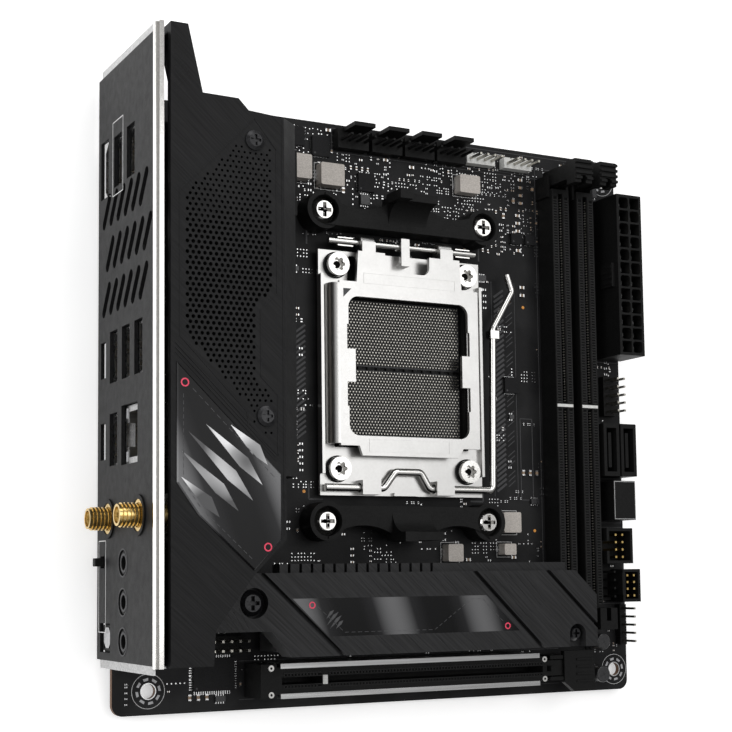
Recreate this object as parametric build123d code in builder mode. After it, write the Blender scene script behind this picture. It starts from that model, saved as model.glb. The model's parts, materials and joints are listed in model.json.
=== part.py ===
"""A mini-ITX computer motherboard with its heatsinks, port stacks and CPU socket.

The board lies flat with its component side up.  The origin is the axis of the mounting hole in
the corner between the rear ports and the expansion slot, at the board's underside.  X runs from
the rear ports towards the memory slots, Y along the ports, Z up.  All sizes are in millimetres.
"""
import os

from build123d import *

os.makedirs("parts", exist_ok=True)

# ---- board -------------------------------------------------------------------------------
BOARD = 170.18                        # both sides of the square board
BOARD_T = 1.6
BOARD_CORNER_R = 3.0
HOLE_X, HOLE_Y = 10.16, 6.35          # origin hole, measured from the board's corner
HOLE_R = 1.98
MOUNT_HOLES = [(10.16, 6.35), (165.1, 6.35), (33.02, 163.83), (165.1, 163.83)]

# ---- rear port plate and its cover -----------------------------------------------------------
PLATE_X = -3.6                        # outer face of the port plate
PLATE_T = 1.0
PLATE_Y = (15.4, 173.0)
PLATE_Z = (-1.6, 41.6)
COVER_TOP = 44.5
COVER_WALL = 1.6

# ---- CPU socket and cooler -------------------------------------------------------------------
SOCKET_X, SOCKET_Y = 88.0, 97.2       # socket centre, from the board's corner
COOLER_DX, COOLER_DY = 54.0, 90.0     # cooler screw rectangle
CLAMP_DX, CLAMP_DY = 43.6, 59.6       # socket frame screw rectangle
PLATE_PIVOT_Y, PLATE_PIVOT_Z = 134.0, 4.6
LEVER_Y, LEVER_Z = 62.0, 4.6
LEVER_R, HINGE_PIN_R = 1.1, 0.95

# ---- memory slots ----------------------------------------------------------------------------
DIMM_X = {"a": 143.2, "b": 152.6}
DIMM_Y = (19.5, 157.0)
DIMM_HALF_W = 3.2
DIMM_TOP = 8.0
LATCH_PIVOT_Y, LATCH_PIVOT_Z = 159.6, 4.6
LATCH_PIN_R = 0.7
LATCH_HALF_W = 3.1

# ---- expansion slot --------------------------------------------------------------------------
PCIE_X = (43.0, 132.0)
PCIE_Y = 8.2
PCIE_TOP = 11.2
PCIE_LATCH_X, PCIE_LATCH_Z = 137.0, 6.2

# ---- lower heatsink --------------------------------------------------------------------------
SINK_TOP = 27.0
SINK_BOTTOM = 20.0
FAN_Y, FAN_Z = 121.0, 21.4
FAN_SIDE = 35.0
VENT_Y = 123.0
PIN_PITCH = 2.54


def spot(x, y):
    """A place measured from the board's corner, in the part's frame."""
    return (x - HOLE_X, y - HOLE_Y)


def level(z):
    """The plane at a height above the board's component side."""
    return Plane.XY.offset(BOARD_T + z)


def block(x, y, z, mode=Mode.ADD):
    """A box given by its ranges along X, Y and Z, measured from the corner of the board."""
    middle = spot((x[0] + x[1]) / 2, (y[0] + y[1]) / 2)
    with Locations((*middle, BOARD_T + z[0])):
        Box(x[1] - x[0], y[1] - y[0], z[1] - z[0],
            align=(Align.CENTER, Align.CENTER, Align.MIN), mode=mode)


def post(x, y, z, radius, mode=Mode.ADD):
    """An upright cylinder over a place on the board."""
    with Locations((*spot(x, y), BOARD_T + z[0])):
        Cylinder(radius, z[1] - z[0], align=(Align.CENTER, Align.CENTER, Align.MIN), mode=mode)


def barrel(x, y, z, radius, mode=Mode.ADD):
    """A cylinder lying along X, at a distance y along the board and a height z."""
    with Locations(Location((x[0] - HOLE_X, y - HOLE_Y, BOARD_T + z), (0, 90, 0))):
        Cylinder(radius, x[1] - x[0], align=(Align.CENTER, Align.CENTER, Align.MIN), mode=mode)


def slab(points, z, mode=Mode.ADD):
    """A plate with a straight-sided outline, between two heights."""
    with BuildSketch(level(z[0])) as face:
        with BuildLine():
            Polyline(*[spot(*point) for point in points], close=True)
        make_face()
    extrude(face.sketch, amount=z[1] - z[0], mode=mode)


def save(name, builder):
    """Label one finished sub-part and write it to its own file."""
    builder.part.label = name
    export_step(builder.part, f"parts/{name}.step")


def grid(count_x, count_y, pitch_x, pitch_y, centre):
    """Centres of a rectangular grid, as (x, y) places measured from the board's corner."""
    left = centre[0] - (count_x - 1) * pitch_x / 2
    low = centre[1] - (count_y - 1) * pitch_y / 2
    return [(left + i * pitch_x, low + j * pitch_y) for i in range(count_x) for j in range(count_y)]


cooler_holes = grid(2, 2, COOLER_DX, COOLER_DY, (SOCKET_X, SOCKET_Y))
clamp_holes = grid(2, 2, CLAMP_DX, CLAMP_DY, (SOCKET_X, SOCKET_Y))

# ================================ board and backplate =====================================
COOLER_POST_R, CLAMP_POST_R = 2.9, 2.1
POST_GAP = 0.15

with BuildPart() as pcb:
    with BuildSketch(Plane.XY):
        with Locations(spot(BOARD / 2, BOARD / 2)):
            RectangleRounded(BOARD, BOARD, BOARD_CORNER_R)
        with Locations(*[spot(*hole) for hole in MOUNT_HOLES]):
            Circle(HOLE_R, mode=Mode.SUBTRACT)
        with Locations(*[spot(*hole) for hole in cooler_holes]):
            Circle(COOLER_POST_R + POST_GAP, mode=Mode.SUBTRACT)
        with Locations(*[spot(*hole) for hole in clamp_holes]):
            Circle(CLAMP_POST_R + POST_GAP, mode=Mode.SUBTRACT)
    extrude(amount=BOARD_T)
save("pcb", pcb)

INSULATOR_Z = (-BOARD_T - 0.3, -BOARD_T)
BACKPLATE_Z = (-BOARD_T - 2.2, -BOARD_T - 0.3)
COOLER_POST_TOP, CLAMP_POST_TOP = 3.0, 1.8
THREAD_R = 1.75

with BuildPart() as backplate:
    with BuildSketch(level(BACKPLATE_Z[0])):
        with Locations(spot(SOCKET_X, SOCKET_Y)):
            RectangleRounded(COOLER_DX + 14, COOLER_DY + 14, 7)
            RectangleRounded(COOLER_DX - 20, COOLER_DY - 38, 6, mode=Mode.SUBTRACT)
            with Locations((0, COOLER_DY / 2 + 7), (0, -COOLER_DY / 2 - 7)):
                RectangleRounded(COOLER_DX - 16, 24, 6, mode=Mode.SUBTRACT)
    extrude(amount=BACKPLATE_Z[1] - BACKPLATE_Z[0])
    for hole in cooler_holes:
        post(*hole, (BACKPLATE_Z[1], COOLER_POST_TOP), COOLER_POST_R)
        post(*hole, (BACKPLATE_Z[0], COOLER_POST_TOP), THREAD_R, Mode.SUBTRACT)
    for hole in clamp_holes:
        post(*hole, (BACKPLATE_Z[1], CLAMP_POST_TOP), CLAMP_POST_R)
        post(*hole, (BACKPLATE_Z[0], CLAMP_POST_TOP), THREAD_R, Mode.SUBTRACT)
save("backplate", backplate)

with BuildPart() as backplate_insulator:
    with BuildSketch(level(INSULATOR_Z[0])):
        with Locations(spot(SOCKET_X, SOCKET_Y)):
            RectangleRounded(COOLER_DX + 10, COOLER_DY - 26, 4)
            RectangleRounded(COOLER_DX - 18, COOLER_DY - 36, 6, mode=Mode.SUBTRACT)
        with Locations(*[spot(*hole) for hole in clamp_holes]):
            Circle(CLAMP_POST_R + POST_GAP, mode=Mode.SUBTRACT)
        with Locations(*[spot(*hole) for hole in cooler_holes]):
            Circle(COOLER_POST_R + POST_GAP, mode=Mode.SUBTRACT)
    extrude(amount=INSULATOR_Z[1] - INSULATOR_Z[0])
save("backplate_insulator", backplate_insulator)

# ================================ rear ports ==============================================
PORT_FRONT = PLATE_X + PLATE_T + 0.2       # port shells stop just behind the plate
USB_A_W, USB_A_H, USB_A_DEPTH = 13.2, 5.6, 14.0
USB_A = [(147.0, 14.6), (147.0, 25.0), (94.9, 11.6), (94.9, 21.4), (94.9, 31.2), (73.0, 11.6)]
USB_C = [(94.9, 3.0), (73.0, 3.0)]
HDMI = (147.0, 3.6)
LAN = (73.4, 24.4)
ANTENNAS = [(52.3, 8.0), (52.3, 32.0)]
ANTENNA_R, ANTENNA_TIP = 3.1, -9.4
JACKS = [(40.6, 19.6), (30.6, 19.6), (20.6, 19.6)]
JACK_R = 1.8
OPTICAL = (21.2, 5.2)
BUTTON = (41.0, 2.8)
BUTTON_GAP = 0.3


def port_box(place, width, height, x, mode=Mode.ADD):
    """A box along X centred on a port, given as (y, z), its width along Y and height along Z."""
    y, z = place
    block(x, (y - width / 2, y + width / 2), (z - height / 2, z + height / 2), mode)


def vent_slits():
    """Centres of the slanted exhaust slits, in three columns with the middle one shifted."""
    return [(VENT_Y - 12 + 12 * column, 5.5 + 5.9 * row + 2.9 * (column % 2))
            for column in range(3) for row in range(6)]


with BuildPart() as io_plate:
    block((PLATE_X, PLATE_X + PLATE_T), PLATE_Y, PLATE_Z)
    cut = (PLATE_X - 1, PLATE_X + PLATE_T + 1)
    for place in USB_A:
        port_box(place, USB_A_W + 0.6, USB_A_H + 0.6, cut, Mode.SUBTRACT)
    for place in USB_C:
        port_box(place, 9.8, 4.2, cut, Mode.SUBTRACT)
    port_box(HDMI, 15.8, 6.4, cut, Mode.SUBTRACT)
    port_box(LAN, 15.4, 12.6, cut, Mode.SUBTRACT)
    for place in ANTENNAS:
        barrel(cut, *place, ANTENNA_R + 0.9, Mode.SUBTRACT)
    for place in JACKS:
        barrel(cut, *place, 3.3, Mode.SUBTRACT)
    port_box(OPTICAL, 7.6, 8.4, cut, Mode.SUBTRACT)
    port_box(BUTTON, 3.2, 3.2, cut, Mode.SUBTRACT)
    with BuildSketch(Plane.YZ.offset(PLATE_X - 1 - HOLE_X)):
        for y, z in vent_slits():
            with Locations(Location((y - HOLE_Y, z + BOARD_T), 35)):
                SlotOverall(10.6, 2.8)
    extrude(amount=3, mode=Mode.SUBTRACT)
save("io_plate", io_plate)

FLANGE_T = 0.6
with BuildPart() as io_bracket:
    for edge, out in ((PLATE_Y[0], -1), (PLATE_Y[1], 1)):
        wall = sorted((edge, edge + out * FLANGE_T))
        lip = sorted((edge, edge + out * 2.2))
        block((PLATE_X + 0.3, 0.0), wall, (0.4, PLATE_Z[1]))
        block((PLATE_X + 0.3, PLATE_X + 0.3 + FLANGE_T), lip, (0.4, PLATE_Z[1]))
save("io_bracket", io_bracket)

TRIM_Z = [PLATE_Z[1], PLATE_Z[1] + 1.2, PLATE_Z[1] + 2.4]
TRIM_STEP, TRIM_BACK = 1.0, -1.4
with BuildPart() as io_trim:
    for step in range(2):
        block((PLATE_X + step * TRIM_STEP, TRIM_BACK), (PLATE_Y[0] - 0.6, PLATE_Y[1] + 2.4),
              TRIM_Z[step:step + 2])
    chamfer(io_trim.edges().filter_by(Axis.Y).sort_by(Axis.X)[:2], 0.3)
save("io_trim", io_trim)

with BuildPart() as usb_a_ports:
    for place in USB_A:
        y, z = place
        port_box(place, USB_A_W, USB_A_H, (PORT_FRONT, PORT_FRONT + USB_A_DEPTH))
        port_box(place, USB_A_W - 0.9, USB_A_H - 0.9, (PORT_FRONT - 1, PORT_FRONT + 9.5), Mode.SUBTRACT)
        port_box((y, z + 1.0), USB_A_W - 2.4, 1.8, (PORT_FRONT + 0.8, PORT_FRONT + 9.6))
save("usb_a_ports", usb_a_ports)

with BuildPart() as usb_c_ports:
    for y, z in USB_C:
        with BuildSketch(Plane.YZ.offset(PORT_FRONT - HOLE_X)) as shell:
            with Locations((y - HOLE_Y, z + BOARD_T)):
                SlotOverall(9.0, 3.3)
                SlotOverall(8.4, 2.7, mode=Mode.SUBTRACT)
        extrude(shell.sketch, amount=7.0)
        with BuildSketch(Plane.YZ.offset(PORT_FRONT + 6.4 - HOLE_X)) as rear:
            with Locations((y - HOLE_Y, z + BOARD_T)):
                SlotOverall(9.0, 3.3)
        extrude(rear.sketch, amount=3.0)
        port_box((y, z), 6.4, 0.7, (PORT_FRONT + 0.7, PORT_FRONT + 6.5))
save("usb_c_ports", usb_c_ports)

with BuildPart() as hdmi_port:
    with BuildSketch(Plane.YZ.offset(PORT_FRONT - HOLE_X)) as shell:
        with BuildLine():
            y, z = HDMI[0] - HOLE_Y, HDMI[1] + BOARD_T
            Polyline((y - 7.6, z + 2.9), (y - 7.6, z - 0.6), (y - 5.4, z - 2.9), (y + 5.4, z - 2.9),
                     (y + 7.6, z - 0.6), (y + 7.6, z + 2.9), close=True)
        make_face()
    extrude(shell.sketch, amount=11)
    with BuildSketch(Plane.YZ.offset(PORT_FRONT - 1 - HOLE_X)) as cavity:
        with BuildLine():
            Polyline((y - 7.1, z + 2.4), (y - 7.1, z - 0.4), (y - 5.1, z - 2.4), (y + 5.1, z - 2.4),
                     (y + 7.1, z - 0.4), (y + 7.1, z + 2.4), close=True)
        make_face()
    extrude(cavity.sketch, amount=9, mode=Mode.SUBTRACT)
    port_box((HDMI[0], HDMI[1]), 10.6, 1.0, (PORT_FRONT + 0.8, PORT_FRONT + 8.2))
save("hdmi_port", hdmi_port)

with BuildPart() as lan_port:
    port_box(LAN, 15.0, 12.2, (PORT_FRONT, PORT_FRONT + 17))
    port_box((LAN[0], LAN[1] + 0.6), 11.8, 8.0, (PORT_FRONT - 1, PORT_FRONT + 12), Mode.SUBTRACT)
    port_box((LAN[0], LAN[1] - 4.2), 6.2, 2.4, (PORT_FRONT - 1, PORT_FRONT + 1.6), Mode.SUBTRACT)
save("lan_port", lan_port)

STACK_BACK = PORT_FRONT + 15.0
with BuildPart() as port_housings:
    for y, top in ((147.0, 29.0), (94.9, 35.4), (73.0, 17.4)):
        block((PORT_FRONT + 1.2, STACK_BACK), (y - 7.4, y + 7.4), (0.0, top))
    room = (PORT_FRONT, PORT_FRONT + USB_A_DEPTH + 0.1)
    for place in USB_A:
        port_box(place, USB_A_W + 0.1, USB_A_H + 0.1, room, Mode.SUBTRACT)
    for place in USB_C:
        port_box(place, 9.2, 3.5, (PORT_FRONT, PORT_FRONT + 9.6), Mode.SUBTRACT)
    port_box(HDMI, 15.4, 6.0, (PORT_FRONT, PORT_FRONT + 11.2), Mode.SUBTRACT)
    block((PORT_FRONT, 6.5), (BUTTON[0] - 3.4, BUTTON[0] + 3.4), (0.0, 6.0))
    port_box(BUTTON, 2.2 + 2 * BUTTON_GAP, 2.2 + 2 * BUTTON_GAP, (PORT_FRONT - 1, 4.0), Mode.SUBTRACT)
save("port_housings", port_housings)

with BuildPart() as wifi_module:
    block((2.0, 26.0), (47.0, 57.6), (0.0, 38.0))
    for place in ANTENNAS:
        barrel((1.0, 6.0), *place, ANTENNA_R + 0.05, Mode.SUBTRACT)
    fillet(wifi_module.edges().filter_by(Axis.Z), 0.8)
save("wifi_module", wifi_module)

with BuildPart() as antenna_connectors:
    for place in ANTENNAS:
        barrel((ANTENNA_TIP, 5.8), *place, ANTENNA_R - 0.35)
        for turn in range(6):
            thread_x = ANTENNA_TIP + 0.9 + turn * 1.0
            barrel((thread_x, thread_x + 0.5), *place, ANTENNA_R)
        barrel((PLATE_X + PLATE_T + 0.3, PLATE_X + PLATE_T + 1.8), *place, 4.4)
        barrel((ANTENNA_TIP - 1, ANTENNA_TIP + 7.0), *place, 2.1, Mode.SUBTRACT)
        barrel((ANTENNA_TIP + 2.0, ANTENNA_TIP + 7.2), *place, 0.6)
save("antenna_connectors", antenna_connectors)

with BuildPart() as audio_jacks:
    for y, z in JACKS:
        barrel((PORT_FRONT - 0.9, PORT_FRONT + 1.0), y, z, 3.0)
    block((PORT_FRONT + 0.4, 13.0), (16.8, 45.4), (12.6, 25.6))
    for y, z in JACKS:
        barrel((PORT_FRONT - 2, 11.5), y, z, JACK_R, Mode.SUBTRACT)
save("audio_jacks", audio_jacks)

with BuildPart() as optical_port:
    port_box(OPTICAL, 8.8, 10.0, (PORT_FRONT + 0.4, 12.0))
    port_box(OPTICAL, 6.6, 7.4, (PORT_FRONT - 0.5, PORT_FRONT + 1.2))
    port_box(OPTICAL, 5.4, 5.4, (PORT_FRONT - 1, PORT_FRONT + 4), Mode.SUBTRACT)
    port_box(OPTICAL, 5.0, 5.0, (PORT_FRONT + 0.1, PORT_FRONT + 0.6))
    port_box(OPTICAL, 1.0, 1.0, (PORT_FRONT + 0.5, PORT_FRONT + 4.2))
save("optical_port", optical_port)

with BuildPart() as rear_button:
    port_box(BUTTON, 2.2, 2.2, (PLATE_X - 2.4, 2.6))
    fillet(rear_button.faces().sort_by(Axis.X)[0].edges(), 0.3)
save("rear_button", rear_button)

# ================================ cover over the ports =====================================
cover_outline = [(0.2, 15.0), (0.2, 175.4), (4.8, 175.4), (8.7, 158.2), (18.4, 158.1), (21.2, 155.3),
                 (31.0, 154.6), (31.0, 45.9), (22.3, 37.3), (11.8, 23.6), (11.3, 15.0)]
grille_outline = [(22.8, 153.3), (2.5, 132.5), (2.5, 96.1), (20.4, 77.8), (20.6, 74.7), (28.8, 67.1),
                  (28.8, 82.5), (24.2, 86.9), (24.2, 104.0), (28.8, 108.5), (28.8, 146.0)]
badge_outline = [(1.6, 89.5), (29.4, 62.3), (29.4, 45.9), (22.0, 38.2), (7.2, 51.9), (1.6, 59.8)]
LEDGE = 5.2                            # the sloping band along the right side of the cover
COVER_SKIRT = 28.0
COVER_SCREWS = [(22.8, 147.6), (25.6, 76.9)]
GRILLE_T = 1.2

with BuildPart() as io_cover:
    with BuildSketch(level(COVER_SKIRT)) as outside:
        with BuildLine():
            Polyline(*[spot(*point) for point in cover_outline], close=True)
        make_face()
    extrude(outside.sketch, amount=COVER_TOP - COVER_SKIRT)
    with BuildSketch(level(COVER_SKIRT)) as inside:
        add(outside.sketch)
        offset(amount=-COVER_WALL, kind=Kind.INTERSECTION, mode=Mode.REPLACE)
    extrude(inside.sketch, amount=COVER_TOP - COVER_SKIRT - 2.4, mode=Mode.SUBTRACT)
    with BuildSketch(Plane.XZ.offset(-(62.0 - HOLE_Y))) as ledge:
        with BuildLine():
            right, top = 31.0 - HOLE_X, COVER_TOP + BOARD_T
            Polyline((right - 0.4, top), (right, top), (right + LEDGE, top - 4.5),
                     (right + LEDGE, top - 14.0), (right + LEDGE - COVER_WALL, top - 14.0),
                     (right + LEDGE - COVER_WALL, top - 5.6), (right - 0.4, top - 2.0), close=True)
        make_face()
    extrude(ledge.sketch, amount=-92.6)
    slab(grille_outline, (COVER_TOP - GRILLE_T, COVER_TOP + 1), Mode.SUBTRACT)
    with BuildSketch(level(COVER_TOP - 3)) as window:
        with BuildLine():
            Polyline(*[spot(*point) for point in grille_outline], close=True)
        make_face()
        offset(amount=-1.4, kind=Kind.INTERSECTION, mode=Mode.REPLACE)
        with Locations(*[spot(*place) for place in COVER_SCREWS]):
            Circle(3.4, mode=Mode.SUBTRACT)
    extrude(window.sketch, amount=4, mode=Mode.SUBTRACT)
    block((-1.0, 2.0), (17.0, 173.0), (COVER_SKIRT - 1, COVER_TOP - 2.4), Mode.SUBTRACT)
    block((0.2, 11.3), (15.0, 15.0 + COVER_WALL), (1.0, COVER_SKIRT))
    block((0.2, 4.8), (175.4 - COVER_WALL, 175.4), (1.0, COVER_SKIRT))
save("io_cover", io_cover)

HOLE_PITCH = 1.55


def grille_holes():
    """Staggered hole centres and radii, largest in the middle of the grille."""
    with BuildSketch() as room:
        with BuildLine():
            Polyline(*grille_outline, close=True)
        make_face()
        offset(amount=-1.5, kind=Kind.INTERSECTION, mode=Mode.REPLACE)
    faces = room.sketch.faces()
    holes = []
    for row in range(66):
        y = 66.0 + row * HOLE_PITCH * 0.87
        for column in range(19):
            x = 1.4 + (column + (row % 2) / 2) * HOLE_PITCH
            clear = all((x - sx) ** 2 + (y - sy) ** 2 > 3.4 ** 2 for sx, sy in COVER_SCREWS)
            if clear and any(face.is_inside((x, y, 0)) for face in faces):
                edge = min(abs(y - 70), abs(150 - y), 30) / 30
                holes.append((x, y, 0.28 + 0.22 * edge))
    return holes


perforations = grille_holes()

with BuildPart() as grille:
    with BuildSketch(level(COVER_TOP - GRILLE_T)) as mesh:
        with BuildLine():
            Polyline(*[spot(*point) for point in grille_outline], close=True)
        make_face()
        offset(amount=-0.15, kind=Kind.INTERSECTION, mode=Mode.REPLACE)
        with Locations(*[spot(*place) for place in COVER_SCREWS]):
            Circle(1.6, mode=Mode.SUBTRACT)
    extrude(mesh.sketch, amount=GRILLE_T)
    with BuildSketch(level(COVER_TOP - GRILLE_T - 1)) as holes:
        for x, y, radius in perforations:
            with Locations(spot(x, y)):
                Circle(radius)
    extrude(holes.sketch, amount=GRILLE_T + 2, mode=Mode.SUBTRACT)
save("grille", grille)

BADGE_T = 0.6
with BuildPart() as cover_badge:
    slab(badge_outline, (COVER_TOP, COVER_TOP + BADGE_T))
    chamfer(cover_badge.faces().sort_by(Axis.Z)[-1].edges(), 0.3)
save("cover_badge", cover_badge)


def cross_head(x, y, z, radius, height):
    """A round screw head with a bevelled rim and a Phillips recess, standing on height z."""
    post(x, y, (z, z + height * 0.5), radius)
    with Locations((*spot(x, y), BOARD_T + z + height * 0.5)):
        Cone(radius, radius * 0.66, height * 0.5, align=(Align.CENTER, Align.CENTER, Align.MIN))
    for wide, tall in ((radius * 1.1, radius * 0.3), (radius * 0.3, radius * 1.1)):
        block((x - wide / 2, x + wide / 2), (y - tall / 2, y + tall / 2),
              (z + height * 0.35, z + height + 1), Mode.SUBTRACT)


with BuildPart() as cover_screws:
    for x, y in COVER_SCREWS:
        cross_head(x, y, COVER_TOP, 2.6, 0.9)
        post(x, y, (COVER_TOP - GRILLE_T, COVER_TOP), 1.5)
save("cover_screws", cover_screws)

# ================================ power stage under the cover ===============================
SINK_X = (20.0, 38.0)
VRM_Y = (64.0, 134.0)
with BuildPart() as vrm_heatsink:
    block(SINK_X, VRM_Y, (2.6, 8.0))
    for index in range(15):
        y = VRM_Y[0] + 1.0 + index * 4.7
        block(SINK_X, (y, y + 2.2), (8.0, 27.0))
save("vrm_heatsink", vrm_heatsink)

VRM_STAGE_Y = [68.0 + 8.6 * index for index in range(8)]

FAN_X = (-1.6, 9.0)
FAN_RING_R = 16.4
FAN_SHAFT_R = 1.0
with BuildPart() as exhaust_fan_frame:
    port_box((FAN_Y, FAN_Z), FAN_SIDE, FAN_SIDE, FAN_X)
    barrel((FAN_X[0] - 1, FAN_X[1] + 1), FAN_Y, FAN_Z, FAN_RING_R, Mode.SUBTRACT)
    fillet(exhaust_fan_frame.edges().filter_by(Axis.X), 1.2)
    for angle in range(0, 360, 90):
        tilt = Location((FAN_X[1] - 0.8 - HOLE_X, FAN_Y - HOLE_Y, FAN_Z + BOARD_T), (angle + 45, 0, 0))
        with Locations(tilt):
            Box(1.4, FAN_RING_R + 0.6, 1.4, align=(Align.CENTER, Align.MIN, Align.CENTER))
    barrel((FAN_X[1] - 1.5, FAN_X[1] - 0.1), FAN_Y, FAN_Z, 7.4)
    barrel((FAN_X[1] - 2, FAN_X[1] + 1), FAN_Y, FAN_Z, FAN_SHAFT_R + 0.06, Mode.SUBTRACT)
save("exhaust_fan_frame", exhaust_fan_frame)

ROTOR_X = (FAN_X[0] + 0.6, FAN_X[1] - 2.0)
with BuildPart() as exhaust_fan_rotor:
    barrel(ROTOR_X, FAN_Y, FAN_Z, 7.2)
    barrel((ROTOR_X[1], FAN_X[1] - 0.4), FAN_Y, FAN_Z, FAN_SHAFT_R)
    for blade in range(9):
        angle = blade * 40
        hub_x = (ROTOR_X[0] + ROTOR_X[1]) / 2
        hub = Location((hub_x - HOLE_X, FAN_Y - HOLE_Y, FAN_Z + BOARD_T), (angle, 0, 0))
        with Locations(hub * Location((0, 6.6, 0), (0, 40, 0))):
            Box(7.4, 9.3, 0.9, align=(Align.CENTER, Align.MIN, Align.CENTER))
save("exhaust_fan_rotor", exhaust_fan_rotor)

with BuildPart() as coin_cell:
    barrel((27.4, 30.6), 51.4, 11.0, 10.0)
    fillet(coin_cell.edges().filter_by(GeomType.CIRCLE), 0.4)
save("coin_cell", coin_cell)

with BuildPart() as cpu_power:
    block((40.0, 49.6), (138.0, 156.8), (0.0, 12.8))
    for x, y in grid(2, 4, 4.2, 4.2, (44.8, 147.4)):
        block((x - 1.6, x + 1.6), (y - 1.6, y + 1.6), (3.0, 13.8), Mode.SUBTRACT)
save("cpu_power", cpu_power)

# ================================ CPU socket ================================================
with BuildPart() as socket_body:
    with BuildSketch(level(0)) as base:
        with Locations(spot(SOCKET_X, SOCKET_Y)):
            RectangleRounded(44.5, 46.0, 1.5)
    extrude(base.sketch, amount=4.0)
    block((SOCKET_X - 20.4, SOCKET_X + 20.4), (SOCKET_Y - 20.4, SOCKET_Y + 20.4), (2.2, 5), Mode.SUBTRACT)
save("socket_body", socket_body)

with BuildPart() as socket_contacts:
    for half in (-1, 1):
        block((SOCKET_X - 20.0, SOCKET_X + 20.0),
              sorted((SOCKET_Y + half * 0.5, SOCKET_Y + half * 20.0)), (2.2, 2.8))
save("socket_contacts", socket_contacts)

FRAME_Z = (2.0, 3.1)
FRAME_HALF_X = 27.3
FRAME_Y = (59.8, 131.4)
LUGS_X = [(72.6, 78.6), (97.4, 103.4)]
TONGUE_X = (86.6, 89.4)
with BuildPart() as socket_frame:
    block((SOCKET_X - FRAME_HALF_X, SOCKET_X + FRAME_HALF_X), FRAME_Y, FRAME_Z)
    block((SOCKET_X - 22.6, SOCKET_X + 22.6), (SOCKET_Y - 23.4, SOCKET_Y + 23.4), (1, 4), Mode.SUBTRACT)
    for corner in clamp_holes:
        post(*corner, (1.8, 3.2), CLAMP_POST_R + POST_GAP, Mode.SUBTRACT)
    with BuildSketch(level(1)) as cuts:
        with Locations(spot(SOCKET_X - 16.4, 126.0), spot(SOCKET_X + 16.4, 126.0)):
            RectangleRounded(3.0, 8.4, 1.4)
    extrude(cuts.sketch, amount=3, mode=Mode.SUBTRACT)
    for side in (-1, 1):
        wall = sorted((SOCKET_X + side * FRAME_HALF_X, SOCKET_X + side * (FRAME_HALF_X - 0.9)))
        block(wall, (66.0, 124.0), (FRAME_Z[1], 4.8))
    block((84.2, 92.0), (59.8, 60.7), (FRAME_Z[1] - 0.6, 4.4))
    block(TONGUE_X, (128.0, 128.9), (FRAME_Z[1] - 0.6, 6.4))
    block(TONGUE_X, (128.0, 136.2), (5.7, 6.4))
    for x in LUGS_X:
        block(x, (LEVER_Y - 2.0, LEVER_Y + 2.2), (FRAME_Z[1], 6.8))
        barrel((x[0] - 1, x[1] + 1), LEVER_Y, LEVER_Z, LEVER_R + 0.3, Mode.SUBTRACT)
save("socket_frame", socket_frame)

PLATE_TOP = 7.4
PLATE_THICK = 1.2
FLANGE_FOOT = 3.5
plate_outline = [(65.4, 74.0), (71.4, 74.0), (72.4, 71.2), (104.6, 71.2), (106.4, 74.0), (112.2, 74.0),
                 (112.2, 121.8), (106.6, 121.8), (106.0, 131.0), (71.6, 131.0), (71.0, 121.8),
                 (65.4, 121.8)]
with BuildPart() as socket_load_plate:
    slab(plate_outline, (PLATE_TOP - PLATE_THICK, PLATE_TOP))
    with BuildSketch(Plane.XZ.offset(-(74.6 - HOLE_Y))) as flange:
        with BuildLine():
            left, top = 62.6 - HOLE_X, PLATE_TOP + BOARD_T
            foot = FLANGE_FOOT + BOARD_T
            RadiusArc((left, top - 2.8), (left + 2.8, top), 2.8)
            Line((left + 2.8, top), (left + 2.8, top - PLATE_THICK))
            RadiusArc((left + 2.8, top - PLATE_THICK), (left + PLATE_THICK, top - 2.8), -1.6)
            Polyline((left + PLATE_THICK, top - 2.8), (left + PLATE_THICK, foot), (left, foot),
                     (left, top - 2.8))
        make_face()
    extrude(flange.sketch, amount=-46.6)
    with BuildSketch(level(PLATE_TOP - 3)) as opening:
        with Locations(spot(SOCKET_X + 0.4, SOCKET_Y)):
            RectangleRounded(40.4, 40.6, 3.2)
            Rectangle(41.4, 24.0)
    extrude(opening.sketch, amount=4, mode=Mode.SUBTRACT)
    with BuildSketch(level(PLATE_TOP - 3)) as notch:
        with Locations(spot(SOCKET_X, 129.5)):
            RectangleRounded(15.0, 8.0, 2.4)
    extrude(notch.sketch, amount=4, mode=Mode.SUBTRACT)
    for side in (-1, 1):
        tab = sorted((SOCKET_X + 0.4 + side * 18.0, SOCKET_X + 0.4 + side * 21.4))
        block(tab, (92.4, 102.0), (PLATE_TOP - PLATE_THICK, PLATE_TOP))
    for x in ((73.0, 77.4), (99.4, 103.8)):
        block(x, (130.4, PLATE_PIVOT_Y), (PLATE_TOP - PLATE_THICK, PLATE_TOP))
        barrel(x, PLATE_PIVOT_Y, PLATE_PIVOT_Z, 2.1)
        barrel((x[0] - 1, x[1] + 1), PLATE_PIVOT_Y, PLATE_PIVOT_Z, 1.15, Mode.SUBTRACT)
save("socket_load_plate", socket_load_plate)

with BuildPart() as socket_hinge_pin:
    barrel((63.2, 113.0), PLATE_PIVOT_Y, PLATE_PIVOT_Z, HINGE_PIN_R)
    for x in ((66.4, 71.4), (85.6, 90.4), (106.4, 111.4)):
        block(x, (PLATE_PIVOT_Y - 1.3, PLATE_PIVOT_Y + 1.3), (2.0, PLATE_PIVOT_Z))
save("socket_hinge_pin", socket_hinge_pin)

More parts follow.
